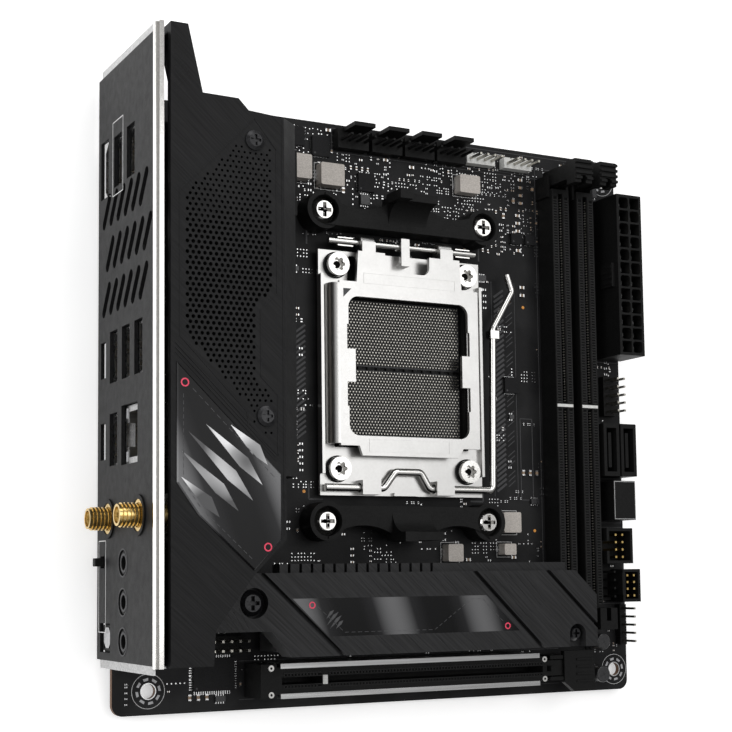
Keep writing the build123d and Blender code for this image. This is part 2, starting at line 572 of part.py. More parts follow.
lever_points = [(61.6, LEVER_Y), (80.6, LEVER_Y), (84.4, 66.8), (93.0, 66.8), (96.0, LEVER_Y),
                (118.2, LEVER_Y), (119.2, 111.6), (126.4, 123.6), (124.6, 128.8)]
with BuildPart() as socket_lever:
    with BuildLine(level(LEVER_Z)) as lever_path:
        FilletPolyline(*[spot(*point) for point in lever_points], radius=1.6)
    with BuildSketch(Plane(origin=lever_path.line @ 0, z_dir=lever_path.line % 0)):
        Circle(LEVER_R)
    sweep(path=lever_path.line)
    block((117.6, 120.6), (108.4, 110.8), (LEVER_Z - 1.45, LEVER_Z + 1.45))
save("socket_lever", socket_lever)

TORX_HEAD = 3.4
with BuildPart() as socket_screws:
    for x, y in clamp_holes:
        post(x, y, (FRAME_Z[1], FRAME_Z[1] + 2.6), TORX_HEAD)
        post(x, y, (-BOARD_T, FRAME_Z[1]), THREAD_R - 0.05)
        with BuildSketch(level(FRAME_Z[1] + 1.0)) as star:
            with Locations(spot(x, y)):
                Circle(1.5)
            with Locations(spot(x, y)):
                with PolarLocations(1.5, 6):
                    Circle(0.55)
        extrude(star.sketch, amount=3, mode=Mode.SUBTRACT)
save("socket_screws", socket_screws)


RAIL_Z = (0.1, 7.8)


def cooler_bracket(side):
    """One plastic cooler rail: two screw bosses, a waisted bar and the hook; side is +1 or -1."""
    y = SOCKET_Y + side * COOLER_DY / 2
    bosses = [SOCKET_X - COOLER_DX / 2, SOCKET_X + COOLER_DX / 2]
    inner, outer = y - side * 4.4, y + side * 5.0
    with BuildSketch(level(RAIL_Z[0])) as bar:
        with BuildLine():
            Line(spot(bosses[0], inner), spot(bosses[1], inner))
            Line(spot(bosses[1], inner), spot(bosses[1], outer))
            for end, edge in ((bosses[1], 7.0), (bosses[0], -7.0)):
                middle = (end + SOCKET_X + edge) / 2
                ThreePointArc(spot(end, outer), spot(middle, y + side * 1.2),
                              spot(SOCKET_X + edge, y + side * 3.4))
            Line(spot(SOCKET_X - 7.0, y + side * 3.4), spot(SOCKET_X + 7.0, y + side * 3.4))
            Line(spot(bosses[0], outer), spot(bosses[0], inner))
        make_face()
    extrude(bar.sketch, amount=RAIL_Z[1] - RAIL_Z[0])
    for x in bosses:
        post(x, y, (RAIL_Z[0], RAIL_Z[1] - 0.4), 5.6)
    foot, crown, back = (level_y - HOLE_Y for level_y in (inner, y + side * 3.2, y + side * 5.6))
    low, rail, top = (height + BOARD_T for height in (4.0, RAIL_Z[1], 15.0))
    with BuildSketch(Plane.YZ.offset(SOCKET_X - 6.4 - HOLE_X)) as hook:
        with BuildLine():
            Polyline((foot, rail), (foot, low), (back, low), (back, top), (crown, top))
            ThreePointArc((crown, top), (crown - side * 1.6, rail + 2.2), (foot, rail))
        make_face()
    extrude(hook.sketch, amount=12.8)
    block((SOCKET_X - 7.6, SOCKET_X - 3.4), sorted((y + side * 3.2, y + side * 6.0)), (9.0, 17.6))
    for x in bosses:
        post(x, y, (4.6, 20), 4.3, Mode.SUBTRACT)
        post(x, y, (0, 5), COOLER_POST_R + POST_GAP, Mode.SUBTRACT)


with BuildPart() as cooler_bracket_top:
    cooler_bracket(1)
save("cooler_bracket_top", cooler_bracket_top)

with BuildPart() as cooler_bracket_bottom:
    cooler_bracket(-1)
save("cooler_bracket_bottom", cooler_bracket_bottom)

with BuildPart() as cooler_screws:
    for x, y in cooler_holes:
        cross_head(x, y, 4.6, 3.9, 2.6)
        post(x, y, (-BOARD_T, 4.6), THREAD_R - 0.05)
save("cooler_screws", cooler_screws)

# ================================ memory slots ==============================================
DIMM_KEY_Y = 88.6
with BuildPart() as dimm_slots:
    for centre in DIMM_X.values():
        block((centre - DIMM_HALF_W, centre + DIMM_HALF_W), DIMM_Y, (0.0, DIMM_TOP))
        block((centre - DIMM_HALF_W, centre + DIMM_HALF_W), (DIMM_Y[0], DIMM_Y[0] + 6.5), (DIMM_TOP, 15.0))
        block((centre - 0.8, centre + 0.8), (DIMM_Y[0] + 2.6, 155.6), (2.4, 16.0), Mode.SUBTRACT)
        block((centre - 1.0, centre + 1.0), (DIMM_KEY_Y - 0.9, DIMM_KEY_Y + 0.9), (2.0, DIMM_TOP - 0.4))
        for side in (-1, 1):
            ear = sorted((centre + side * (DIMM_HALF_W - 0.1), centre + side * (DIMM_HALF_W + 0.8)))
            block(ear, (154.6, 161.4), (0.0, 6.8))
        barrel((centre - 5, centre + 5), LATCH_PIVOT_Y, LATCH_PIVOT_Z, LATCH_PIN_R + 0.1, Mode.SUBTRACT)
save("dimm_slots", dimm_slots)

for letter, centre in DIMM_X.items():
    with BuildPart() as dimm_latch:
        block((centre - 2.7, centre + 2.7), (158.2, 163.2), (2.6, 17.0))
        barrel((centre - 3.9, centre + 3.9), LATCH_PIVOT_Y, LATCH_PIVOT_Z, LATCH_PIN_R)
        block((centre - LATCH_HALF_W, centre + LATCH_HALF_W), (156.2, 163.6), (16.0, 20.5))
        for rib in range(4):
            y = 157.2 + rib * 1.7
            block((centre - LATCH_HALF_W, centre + LATCH_HALF_W), (y, y + 0.8), (20.5, 21.3))
        block((centre - 0.9, centre + 0.9), (156.0, 158.6), (6.0, 22.0), Mode.SUBTRACT)
    save(f"dimm_latch_{letter}", dimm_latch)

# ================================ power and data connectors ================================
ATX_X, ATX_Y = (161.4, 171.0), (105.0, 156.6)
with BuildPart() as atx_power:
    block(ATX_X, ATX_Y, (0.0, 12.8))
    for index, (x, y) in enumerate(grid(2, 12, 4.2, 4.2, (166.2, 130.8))):
        with BuildSketch(level(3.0)) as cell:
            with Locations(spot(x, y)):
                RectangleRounded(3.6, 3.6, 0.9 if (index + index // 12) % 2 else 0.15)
        extrude(cell.sketch, amount=11, mode=Mode.SUBTRACT)
    block((ATX_X[0] - 1.2, ATX_X[0]), (127.0, 134.6), (5.0, 11.0))
save("atx_power", atx_power)

with BuildPart() as sata_ports:
    for x in (160.2, 166.8):
        block((x - 3.0, x + 3.0), (67.0, 83.6), (0.0, 8.6))
        block((x - 1.9, x + 1.9), (68.4, 82.2), (2.0, 9.6), Mode.SUBTRACT)
        block((x - 0.6, x + 0.6), (69.8, 80.8), (1.9, 7.6))
save("sata_ports", sata_ports)

with BuildPart() as front_usb_c_header:
    block((160.4, 168.6), (53.4, 65.4), (0.0, 9.0))
    block((161.4, 167.6), (54.4, 64.4), (3.0, 10.0), Mode.SUBTRACT)
    block((163.6, 165.4), (55.4, 63.4), (2.9, 8.4))
save("front_usb_c_header", front_usb_c_header)


def box_header(x, y, height=9.0):
    """A shrouded pin header: a rectangular cup with a polarising gap in its left wall."""
    block(x, y, (0.0, height))
    block((x[0] + 0.9, x[1] - 0.9), (y[0] + 0.9, y[1] - 0.9), (2.2, height + 1), Mode.SUBTRACT)
    middle = (y[0] + y[1]) / 2
    block((x[0] - 1, x[0] + 2), (middle - 1.6, middle + 1.6), (2.2, height + 1), Mode.SUBTRACT)


with BuildPart() as box_headers:
    box_header((157.0, 167.0), (39.6, 50.6))
    box_header((162.8, 169.6), (27.6, 37.8))
save("box_headers", box_headers)

with BuildPart() as connector_pins:
    for x, y in grid(2, 4, PIN_PITCH, 2.3, (162.2, 45.1)) + grid(2, 4, PIN_PITCH, 2.1, (166.3, 32.7)):
        block((x - 0.32, x + 0.32), (y - 0.32, y + 0.32), (2.2, 8.4))
    for x, y in grid(2, 12, 4.2, 4.2, (166.2, 130.8)) + grid(2, 4, 4.2, 4.2, (44.8, 147.4)):
        post(x, y, (3.0, 9.5), 0.55)
save("connector_pins", connector_pins)


RGB_X, RGB_Y = (117.4, 131.0), 164.8


def pin_header(places, height=8.6):
    """A bare pin header: square pins through a low plastic strip of small cells."""
    for x, y in places:
        block((x - 1.25, x + 1.25), (y - 1.25, y + 1.25), (0.0, 2.5))
    for x, y in places:
        block((x - 0.32, x + 0.32), (y - 0.32, y + 0.32), (2.5, height))


with BuildPart() as pin_headers:
    pin_header(grid(2, 5, PIN_PITCH, PIN_PITCH, (164.6, 93.0)))
    pin_header(grid(1, 5, PIN_PITCH, PIN_PITCH, (167.4, 20.4)))
    pin_header(grid(5, 2, PIN_PITCH, PIN_PITCH, (31.0, 18.0)))
    for centre in RGB_X:
        for x, y in grid(4, 1, PIN_PITCH, 1.0, (centre, RGB_Y)):
            block((x - 0.32, x + 0.32), (y - 0.32, y + 0.32), (2.8, 9.0))
save("pin_headers", pin_headers)


def fan_header(x, y, turned=False):
    """A four-pin fan header with its upright keying tab; turned lays it along Y."""
    long_half, short_half = 5.1, 3.0
    wide, deep = (short_half, long_half) if turned else (long_half, short_half)
    block((x - wide, x + wide), (y - deep, y + deep), (0.0, 3.4))
    if turned:
        block((x + wide - 1.2, x + wide), (y - 3.4, y + 3.4), (3.4, 11.0))
    else:
        block((x - 3.4, x + 3.4), (y + deep - 1.2, y + deep), (3.4, 11.0))
    for index in range(4):
        shift = (index - 1.5) * PIN_PITCH
        px, py = (x - 0.5, y + shift) if turned else (x + shift, y - 0.5)
        block((px - 0.32, px + 0.32), (py - 0.32, py + 0.32), (3.4, 10.2))


with BuildPart() as fan_headers:
    for x in (72.6, 84.0, 95.2, 106.4):
        fan_header(x, 165.4)
    fan_header(159.3, 33.2, turned=True)
save("fan_headers", fan_headers)

with BuildPart() as rgb_headers:
    for x in RGB_X:
        for index in (0, 1, 2, 3):
            cell = x + (index - 1.5) * PIN_PITCH
            block((cell - 1.27, cell + 1.27), (RGB_Y - 1.5, RGB_Y + 1.5), (0.0, 2.8))
            block((cell - 1.0, cell + 1.0), (RGB_Y + 1.5, RGB_Y + 1.9), (0.0, 2.8))
save("rgb_headers", rgb_headers)

# ================================ small components =========================================
CHOKES = [(55.5, 155.4, 6.6, 7.2), (65.6, 154.0, 7.6, 6.6), (112.8, 156.4, 7.2, 5.6),
          (105.4, 43.2, 5.2, 5.2), (125.8, 52.4, 6.2, 6.2), (124.8, 44.2, 4.2, 3.4)]
with BuildPart() as chokes:
    for x, y, wide, deep in CHOKES:
        block((x - wide / 2, x + wide / 2), (y - deep / 2, y + deep / 2), (0.0, 3.6))
    for y in VRM_STAGE_Y:
        block((40.5, 48.5), (y - 3.6, y + 3.6), (0.0, 7.5))
    fillet(chokes.edges().filter_by(Axis.Z), 0.5)
save("chokes", chokes)

CHIPS = [(54.9, 164.9, 5.6, 5.6), (62.9, 162.6, 5.6, 5.8), (77.9, 153.4, 5.4, 5.4),
         (131.0, 141.5, 4.0, 3.4), (136.2, 141.5, 3.8, 3.2), (28.8, 10.2, 12.0, 9.0),
         (128.0, 95.0, 5.0, 5.0)]
with BuildPart() as chips:
    for x, y, wide, deep in CHIPS:
        block((x - wide / 2, x + wide / 2), (y - deep / 2, y + deep / 2), (0.1, 1.3))
    for y in VRM_STAGE_Y:
        block((27.0, 33.0), (y - 2.5, y + 2.5), (0.0, 1.6))
    block((62.0, 79.0), (17.5, 34.5), (0.0, 2.2))
save("chips", chips)

with BuildPart() as can_capacitors:
    for x, y in ((157.0, 15.4), (156.6, 5.4)):
        post(x, y, (0.0, 6.2), 2.5)
    fillet(can_capacitors.edges().filter_by(GeomType.CIRCLE).group_by(Axis.Z)[-1], 0.4)
save("can_capacitors", can_capacitors)

# ================================ drive heatsink tower ======================================
with BuildPart() as chipset_heatsink:
    block((42.0, 120.0), (16.2, 36.6), (2.2, 5.0))
    for index in range(13):
        x = 42.0 + index * 6.3
        block((x, x + 2.1), (16.2, 36.6), (5.0, 15.4))
save("chipset_heatsink", chipset_heatsink)

with BuildPart() as m2_socket:
    block((121.2, 127.0), (16.4, 36.4), (0.0, 18.6))
    block((120.4, 124.0), (17.4, 35.4), (16.0, 17.4), Mode.SUBTRACT)
save("m2_socket", m2_socket)

wing_outline = [(16.0, 22.4), (34.4, 22.4), (40.6, 15.4), (139.3, 15.4), (139.3, 30.4), (131.8, 37.6),
                (24.6, 37.6), (16.0, 27.0)]
sink_badge_outline = [(40.6, 30.8), (101.0, 30.8), (112.0, 20.6), (51.2, 20.6)]
GROOVES = [((31.8, 37.6), (55.6, 15.4)), ((97.3, 37.6), (120.1, 15.4)), ((122.1, 37.6), (140.1, 20.6))]
GROOVE_W = 1.7
SINK_SCREWS = [(29.6, 29.8, 3.4), (132.2, 19.2, 2.2)]
with BuildPart() as m2_heatsink:
    slab(wing_outline, (SINK_BOTTOM, SINK_TOP))
    block((38.0, 130.0), (37.0, 40.0), (SINK_BOTTOM, SINK_TOP - 2.4))
    for index in range(14):
        x = 40.8 + index * 3.37
        block((x - 0.4, x + 0.4), (37.6, 41.0), (SINK_BOTTOM - 1, SINK_TOP), Mode.SUBTRACT)
    for (x0, y0), (x1, y1) in GROOVES:
        half = GROOVE_W / 2
        slab([(x0 - half, y0), (x0 + half, y0), (x1 + half, y1), (x1 - half, y1)],
             (SINK_TOP - 1.8, SINK_TOP + 1), Mode.SUBTRACT)
    slab(sink_badge_outline, (SINK_TOP - 0.5, SINK_TOP + 1), Mode.SUBTRACT)
    for x, y, radius in SINK_SCREWS:
        post(x, y, (SINK_TOP - 3.0, SINK_TOP + 1), radius + 0.6, Mode.SUBTRACT)
        post(x, y, (SINK_BOTTOM - 1, SINK_TOP), 1.6, Mode.SUBTRACT)
    block((129.4, 135.0), (15.0, 19.2), (SINK_TOP - 3.0, SINK_TOP + 1), Mode.SUBTRACT)
save("m2_heatsink", m2_heatsink)

with BuildPart() as m2_badge:
    slab(sink_badge_outline, (SINK_TOP - 0.5, SINK_TOP - 0.05))
save("m2_badge", m2_badge)

with BuildPart() as thermal_pads:
    block((46.0, 119.0), (17.0, 36.0), (SINK_BOTTOM - 1.2, SINK_BOTTOM))
    block((22.0, 37.0), (65.0, 132.0), (1.6, 2.6))
save("thermal_pads", thermal_pads)

with BuildPart() as m2_screws:
    for x, y, radius in SINK_SCREWS:
        cross_head(x, y, SINK_TOP - 3.0, radius, 2.2)
        post(x, y, (SINK_BOTTOM - 3.0, SINK_TOP - 3.0), 1.5)
save("m2_screws", m2_screws)

with BuildPart() as m2_standoffs:
    post(29.6, 29.8, (0.0, SINK_BOTTOM), 3.0)
    post(29.6, 29.8, (SINK_BOTTOM - 3.0, SINK_BOTTOM + 1), 1.6, Mode.SUBTRACT)
    post(132.2, 19.2, (0.0, SINK_BOTTOM), 2.6)
    post(132.2, 19.2, (SINK_BOTTOM - 3.0, SINK_BOTTOM + 1), 1.6, Mode.SUBTRACT)
save("m2_standoffs", m2_standoffs)

# ================================ expansion slot ============================================
SLOT_HALF_W = 3.75
CARD_PIN_R = 0.9
latch_axis = Location((PCIE_LATCH_X - HOLE_X, PCIE_Y - HOLE_Y, PCIE_LATCH_Z + BOARD_T), (90, 0, 0))
with BuildPart() as pcie_slot:
    block(PCIE_X, (PCIE_Y - SLOT_HALF_W, PCIE_Y + SLOT_HALF_W), (0.0, PCIE_TOP))
    block((PCIE_X[0] + 1.6, PCIE_X[1] - 1.6), (PCIE_Y - 1.0, PCIE_Y + 1.0), (3.0, 12.0), Mode.SUBTRACT)
    block((57.0, 58.6), (PCIE_Y - 1.2, PCIE_Y + 1.2), (2.5, PCIE_TOP))
    block((PCIE_X[1], 143.0), (PCIE_Y - SLOT_HALF_W, PCIE_Y + SLOT_HALF_W), (0.0, 2.2))
    block((38.2, PCIE_X[0] - 0.1), (PCIE_Y - 4.7, PCIE_Y + 4.7), (0.0, PCIE_TOP + 0.3))
    block((PCIE_X[0] - 0.2, PCIE_X[0]), (PCIE_Y - SLOT_HALF_W, PCIE_Y + SLOT_HALF_W), (0.0, PCIE_TOP))
    for side in (-1, 1):
        cheek = sorted((PCIE_Y + side * SLOT_HALF_W, PCIE_Y + side * (SLOT_HALF_W - 1.1)))
        block((134.6, 139.4), cheek, (2.2, 9.0))
    with Locations(latch_axis):
        Cylinder(CARD_PIN_R + 0.1, 12, mode=Mode.SUBTRACT)
save("pcie_slot", pcie_slot)

SHELL_X = (PCIE_X[0] + 1.0, PCIE_X[1] - 3.0)
with BuildPart() as pcie_shell:
    for side in (-1, 1):
        outer = PCIE_Y + side * (SLOT_HALF_W + 1.0)
        block(SHELL_X, sorted((PCIE_Y + side * (SLOT_HALF_W + 0.05), outer)), (0.2, PCIE_TOP + 0.5))
        block(SHELL_X, sorted((PCIE_Y + side * 3.4, outer)), (PCIE_TOP + 0.05, PCIE_TOP + 0.5))
save("pcie_shell", pcie_shell)

with BuildPart() as pcie_latch:
    block((133.0, 141.4), (PCIE_Y - 2.3, PCIE_Y + 2.3), (4.2, 8.4))
    block((132.6, 134.2), (PCIE_Y - 0.8, PCIE_Y + 0.8), (8.4, 12.4))
    slab([(139.6, PCIE_Y + 5.0), (139.6, PCIE_Y - 4.4), (143.0, 1.0), (150.8, 1.0), (150.8, PCIE_Y + 5.0)],
         (7.6, 9.4))
    block((139.6, 141.4), (PCIE_Y - 2.3, PCIE_Y + 2.3), (6.0, 8.0))
    with Locations(latch_axis):
        Cylinder(CARD_PIN_R, 2 * SLOT_HALF_W)
save("pcie_latch", pcie_latch)

# ================================ solder tails ==============================================
TAIL_LOW = BACKPLATE_Z[0]


def tails(places):
    """Soldered pin ends below the board, as low as the backplate."""
    for x, y in places:
        post(x, y, (TAIL_LOW, -BOARD_T), 0.5)


with BuildPart() as solder_tails:
    tails(grid(3, 14, 5.0, 10.6, (9.0, 91.0)))
    tails(grid(2, 12, 9.4, 11.6, (147.9, 88.4)) + grid(2, 12, 4.2, 4.2, (166.2, 130.8)))
    tails(grid(18, 2, 4.8, 4.0, (87.5, PCIE_Y)))
save("solder_tails", solder_tails)
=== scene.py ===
"""The looks of a mini-ITX motherboard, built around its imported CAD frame.

Every place is given in board millimetres: from the board's corner between the rear ports and the
expansion slot, with heights above the component side.
"""
import json
import math
import random

import bpy
from mathutils import Matrix, Vector


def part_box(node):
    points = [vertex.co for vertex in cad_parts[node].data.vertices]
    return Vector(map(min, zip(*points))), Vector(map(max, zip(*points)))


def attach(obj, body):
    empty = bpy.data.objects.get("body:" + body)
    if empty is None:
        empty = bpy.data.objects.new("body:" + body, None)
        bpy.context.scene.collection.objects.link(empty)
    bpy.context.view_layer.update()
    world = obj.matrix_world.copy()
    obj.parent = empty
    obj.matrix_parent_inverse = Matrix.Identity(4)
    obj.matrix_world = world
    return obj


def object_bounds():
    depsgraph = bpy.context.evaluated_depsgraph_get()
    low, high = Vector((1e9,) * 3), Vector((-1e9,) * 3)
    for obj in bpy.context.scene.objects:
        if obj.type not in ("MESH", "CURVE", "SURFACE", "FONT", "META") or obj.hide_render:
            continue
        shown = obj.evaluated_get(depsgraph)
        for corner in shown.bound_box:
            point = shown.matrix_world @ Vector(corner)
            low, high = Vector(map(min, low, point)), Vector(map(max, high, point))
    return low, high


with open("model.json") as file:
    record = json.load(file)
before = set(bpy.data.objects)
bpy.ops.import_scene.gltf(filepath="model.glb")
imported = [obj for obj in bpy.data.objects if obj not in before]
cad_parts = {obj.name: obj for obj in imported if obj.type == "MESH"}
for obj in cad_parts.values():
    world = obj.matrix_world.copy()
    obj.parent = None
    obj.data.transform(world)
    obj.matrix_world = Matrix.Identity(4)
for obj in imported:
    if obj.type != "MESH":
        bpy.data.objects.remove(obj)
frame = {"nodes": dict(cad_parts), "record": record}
cad_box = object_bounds()

MM = 0.001
pcb_low, pcb_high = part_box("pcb")
CORNER = Vector((pcb_low[0], pcb_low[1], pcb_high[2]))
BOARD = (pcb_high[0] - pcb_low[0]) / MM
UNDERSIDE = (pcb_low[2] - pcb_high[2]) / MM
scene = bpy.context.scene

# Places of visible parts on the board: x, y, and for chokes and chips their width and depth.
MOUNT_HOLES = [(10.16, 6.35), (165.1, 6.35), (33.02, 163.83), (165.1, 163.83)]
DIMM_CENTRES = (143.2, 152.6)
CARD_SLOT_Y = 8.2
CAN_PLACES = ((157.0, 15.4), (156.6, 5.4))
SOCKET = (88.0, 97.2)
COOLER_REACH, CLAMP_REACH = (27.0, 45.0), (21.8, 29.8)
CHOKE_PLACES = [(55.5, 155.4, 6.6, 7.2), (65.6, 154.0, 7.6, 6.6), (112.8, 156.4, 7.2, 5.6),
                (105.4, 43.2, 5.2, 5.2), (125.8, 52.4, 6.2, 6.2), (124.8, 44.2, 4.2, 3.4)]
CHIP_PLACES = [(54.9, 164.9, 5.6, 5.6), (62.9, 162.6, 5.6, 5.8), (77.9, 153.4, 5.4, 5.4),
               (131.0, 141.5, 4.0, 3.4), (136.2, 141.5, 3.8, 3.2), (128.0, 95.0, 5.0, 5.0),
               (28.8, 10.2, 12.0, 9.0)]


def at(x, y, z=0.0):
    """A place in board millimetres, in the frame's metres."""
    return CORNER + Vector((x, y, z)) * MM


def span(node, axis):
    """Where a CAD node starts and ends along an axis, in board millimetres."""
    low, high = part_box(node)
    return (low[axis] - CORNER[axis]) / MM, (high[axis] - CORNER[axis]) / MM


# ------------------------------------------------------------------ materials
def principled(name, colour, rough, metal=0.0, specular=0.5):
    material = bpy.data.materials.new(name)
    material.use_nodes = True
    shader = material.node_tree.nodes["Principled BSDF"]
    shader.inputs["Base Color"].default_value = (*colour, 1.0)
    shader.inputs["Roughness"].default_value = rough
    shader.inputs["Metallic"].default_value = metal
    shader.inputs["Specular IOR Level"].default_value = specular
    return material, material.node_tree, shader


def ramp(tree, fac, stops):
    node = tree.nodes.new("ShaderNodeValToRGB")
    while len(node.color_ramp.elements) < len(stops):
        node.color_ramp.elements.new(0.5)
    for element, (place, colour) in zip(node.color_ramp.elements, stops):
        element.position = place
        element.color = (*colour, 1.0)
    tree.links.new(fac, node.inputs["Fac"])
    return node.outputs["Color"]


def mapped(tree, stretch=(1, 1, 1), turn=0.0):
    """The piece's own metres, turned about Z and stretched."""
    place = tree.nodes.new("ShaderNodeTexCoord")
    turned = tree.nodes.new("ShaderNodeMapping")
    turned.inputs["Rotation"].default_value = (0, 0, math.radians(turn))
    scaled = tree.nodes.new("ShaderNodeMapping")
    scaled.inputs["Scale"].default_value = stretch
    tree.links.new(place.outputs["Object"], turned.inputs["Vector"])
    tree.links.new(turned.outputs["Vector"], scaled.inputs["Vector"])
    return scaled.outputs["Vector"]


def noise(tree, scale, stretch=(1, 1, 1), turn=0.0, detail=3.0):
    node = tree.nodes.new("ShaderNodeTexNoise")
    node.inputs["Scale"].default_value = scale
    node.inputs["Detail"].default_value = detail
    tree.links.new(mapped(tree, stretch, turn), node.inputs["Vector"])
    return node.outputs["Fac"]


def bump(tree, shader, height, strength, distance):
    node = tree.nodes.new("ShaderNodeBump")
    node.inputs["Strength"].default_value = strength
    node.inputs["Distance"].default_value = distance
    tree.links.new(height, node.inputs["Height"])
    tree.links.new(node.outputs["Normal"], shader.inputs["Normal"])


def grained(name, dark, light, rough, metal=0.0, scale=900.0, stretch=(1, 1, 1), turn=0.0,
            depth=0.15, distance=0.0001, rough_span=0.1, specular=0.5):
    """A surface whose colour, gloss and relief follow a fine noise, stretched for a brushed grain."""
    material, tree, shader = principled(name, light, rough, metal, specular)
    grain = noise(tree, scale, stretch, turn)
    tree.links.new(ramp(tree, grain, [(0.3, dark), (0.7, light)]), shader.inputs["Base Color"])
    gloss = tree.nodes.new("ShaderNodeMapRange")
    gloss.inputs["To Min"].default_value = max(0.02, rough - rough_span)
    gloss.inputs["To Max"].default_value = min(1.0, rough + rough_span)
    tree.links.new(noise(tree, scale * 0.2, stretch, turn), gloss.inputs["Value"])
    tree.links.new(gloss.outputs["Result"], shader.inputs["Roughness"])
    bump(tree, shader, grain, depth, distance)
    return material


def board_material():
    """Black solder mask over faint copper traces, and the brown glass fibre of the board's edge."""
    material, tree, shader = principled("solder_mask", (0.008, 0.008, 0.009), 0.42, specular=0.12)
    traces = tree.nodes.new("ShaderNodeTexBrick")
    traces.inputs["Scale"].default_value = 260.0
    traces.inputs["Mortar Size"].default_value = 0.03
    tree.links.new(mapped(tree, turn=45), traces.inputs["Vector"])
    mask = ramp(tree, noise(tree, 70), [(0.42, (0.009, 0.009, 0.0095)), (0.6, (0.016, 0.016, 0.0165))])
    normal = tree.nodes.new("ShaderNodeNewGeometry")
    split = tree.nodes.new("ShaderNodeSeparateXYZ")
    tree.links.new(normal.outputs["Normal"], split.inputs["Vector"])
    upright = tree.nodes.new("ShaderNodeMath")
    upright.operation = "ABSOLUTE"
    tree.links.new(split.outputs["Z"], upright.inputs[0])
    fibre = ramp(tree, noise(tree, 900, (0.1, 0.1, 8.0)),
                 [(0.3, (0.07, 0.035, 0.02)), (0.7, (0.18, 0.095, 0.05))])
    face = tree.nodes.new("ShaderNodeMix")
    face.data_type = "RGBA"
    tree.links.new(upright.outputs["Value"], face.inputs["Factor"])
    tree.links.new(fibre, face.inputs["A"])
    tree.links.new(mask, face.inputs["B"])
    tree.links.new(face.outputs["Result"], shader.inputs["Base Color"])
    bump(tree, shader, traces.outputs["Fac"], 0.35, 0.00004)
    return material


def graded_silver():
    """Silver print that fades from white to grey and back over a few millimetres."""
    material, tree, shader = principled("graded_silver", (0.5, 0.5, 0.5), 0.35, metal=0.2)
    tones = [(0.34, (0.05, 0.05, 0.052)), (0.5, (0.30, 0.30, 0.305)), (0.64, (0.72, 0.72, 0.73))]
    tree.links.new(ramp(tree, noise(tree, 85, turn=30, detail=0.0), tones), shader.inputs["Base Color"])
    return material


def mirror_material():
    """Dark mirror film with a painted reflection: its colour runs slowly from bright to dark in wide bands,
    in place of the surroundings it would mirror.
    """
    material, tree, shader = principled("dark_mirror", (0.1, 0.1, 0.1), 0.26, metal=0.3, specular=0.2)
    wave = tree.nodes.new("ShaderNodeTexWave")
    wave.inputs["Scale"].default_value = 11.85
    wave.inputs["Distortion"].default_value = 0.6
    wave.inputs["Phase Offset"].default_value = 0.48
    wave.inputs["Detail"].default_value = 0.0
    tree.links.new(mapped(tree, turn=-20), wave.inputs["Vector"])
    # painted reflection: the bright and dark bands of the base colour stand in for the surroundings seen in
    # the mirror
    tones = [(0.15, (0.003, 0.003, 0.0033)), (0.6, (0.014, 0.014, 0.015)), (1.0, (0.13, 0.13, 0.133))]
    painted_reflection_bands = ramp(tree, wave.outputs["Fac"], tones)
    tree.links.new(painted_reflection_bands, shader.inputs["Base Color"])
    bump(tree, shader, noise(tree, 2500, (0.05, 1, 1), 0), 0.04, 0.00003)
    return material


BRUSH = (0.03, 1.0, 1.0)
PLASTIC = dict(scale=2200, depth=0.14, distance=0.00005, specular=0.14)
MATERIALS = {
    "board": board_material(),
    "mirror_print": mirror_material(),
    "cover": grained("brushed_cover", (0.006, 0.006, 0.0064), (0.014, 0.014, 0.0145), 0.5, 0.0, 2600,
                     BRUSH, 42, 0.22, specular=0.14),
    "heatsink": grained("brushed_heatsink", (0.011, 0.011, 0.0115), (0.027, 0.027, 0.028), 0.46, 0.15, 2600,
                        BRUSH, 42, 0.25, specular=0.2),
    "bare_aluminium": grained("milled_aluminium", (0.42, 0.42, 0.43), (0.55, 0.55, 0.56), 0.35, 1.0, 1500,
                              BRUSH),
    "black_plastic": grained("moulded_nylon", (0.004, 0.004, 0.004), (0.009, 0.009, 0.009), 0.5, **PLASTIC),
    "white_plastic": grained("white_nylon", (0.55, 0.55, 0.53), (0.72, 0.72, 0.70), 0.45, scale=1800,
                             depth=0.1),
    "steel": grained("satin_steel", (0.52, 0.515, 0.505), (0.55, 0.545, 0.535), 0.3, 1.0, 1400, depth=0.02,
                     rough_span=0.04),
    "bright_steel": grained("bright_nickel", (0.60, 0.59, 0.57), (0.68, 0.67, 0.65), 0.16, 1.0, 2400,
                            depth=0.02, rough_span=0.05),
    "blackened_steel": grained("black_screw", (0.006, 0.006, 0.007), (0.02, 0.02, 0.022), 0.3, 0.5, 1500),
    "gold": grained("gold_plate", (0.60, 0.40, 0.12), (0.83, 0.62, 0.27), 0.2, 1.0, 1200, depth=0.05),
    "port_metal": grained("nickel_sheet", (0.36, 0.36, 0.36), (0.52, 0.52, 0.52), 0.28, 1.0, 1500,
                          BRUSH, 0, 0.06),
    "contact_field": grained("contact_base", (0.004, 0.004, 0.0045), (0.012, 0.012, 0.013), 0.5, scale=2500),
    "choke": grained("pressed_ferrite", (0.36, 0.33, 0.30), (0.54, 0.50, 0.46), 0.5, 0.0, 3200, depth=0.12),
    "chip": grained("moulding_compound", (0.004, 0.004, 0.0045), (0.011, 0.011, 0.012), 0.55, scale=3500,
                    depth=0.2, specular=0.15),
    "can": grained("capacitor_sleeve", (0.01, 0.01, 0.011), (0.03, 0.03, 0.032), 0.3, scale=1500,
                   depth=0.05),
    "pad": grained("soft_pad", (0.30, 0.32, 0.35), (0.42, 0.44, 0.47), 0.8, scale=1200, depth=0.3),
    "insulator": grained("black_film", (0.012, 0.012, 0.012), (0.02, 0.02, 0.02), 0.4, scale=500,
                         depth=0.05),
    "tin": grained("bright_solder", (0.50, 0.50, 0.50), (0.74, 0.74, 0.74), 0.25, 1.0, 2000, depth=0.1),
}
SILK = grained("white_ink", (0.50, 0.50, 0.50), (0.68, 0.68, 0.68), 0.6, scale=3000)
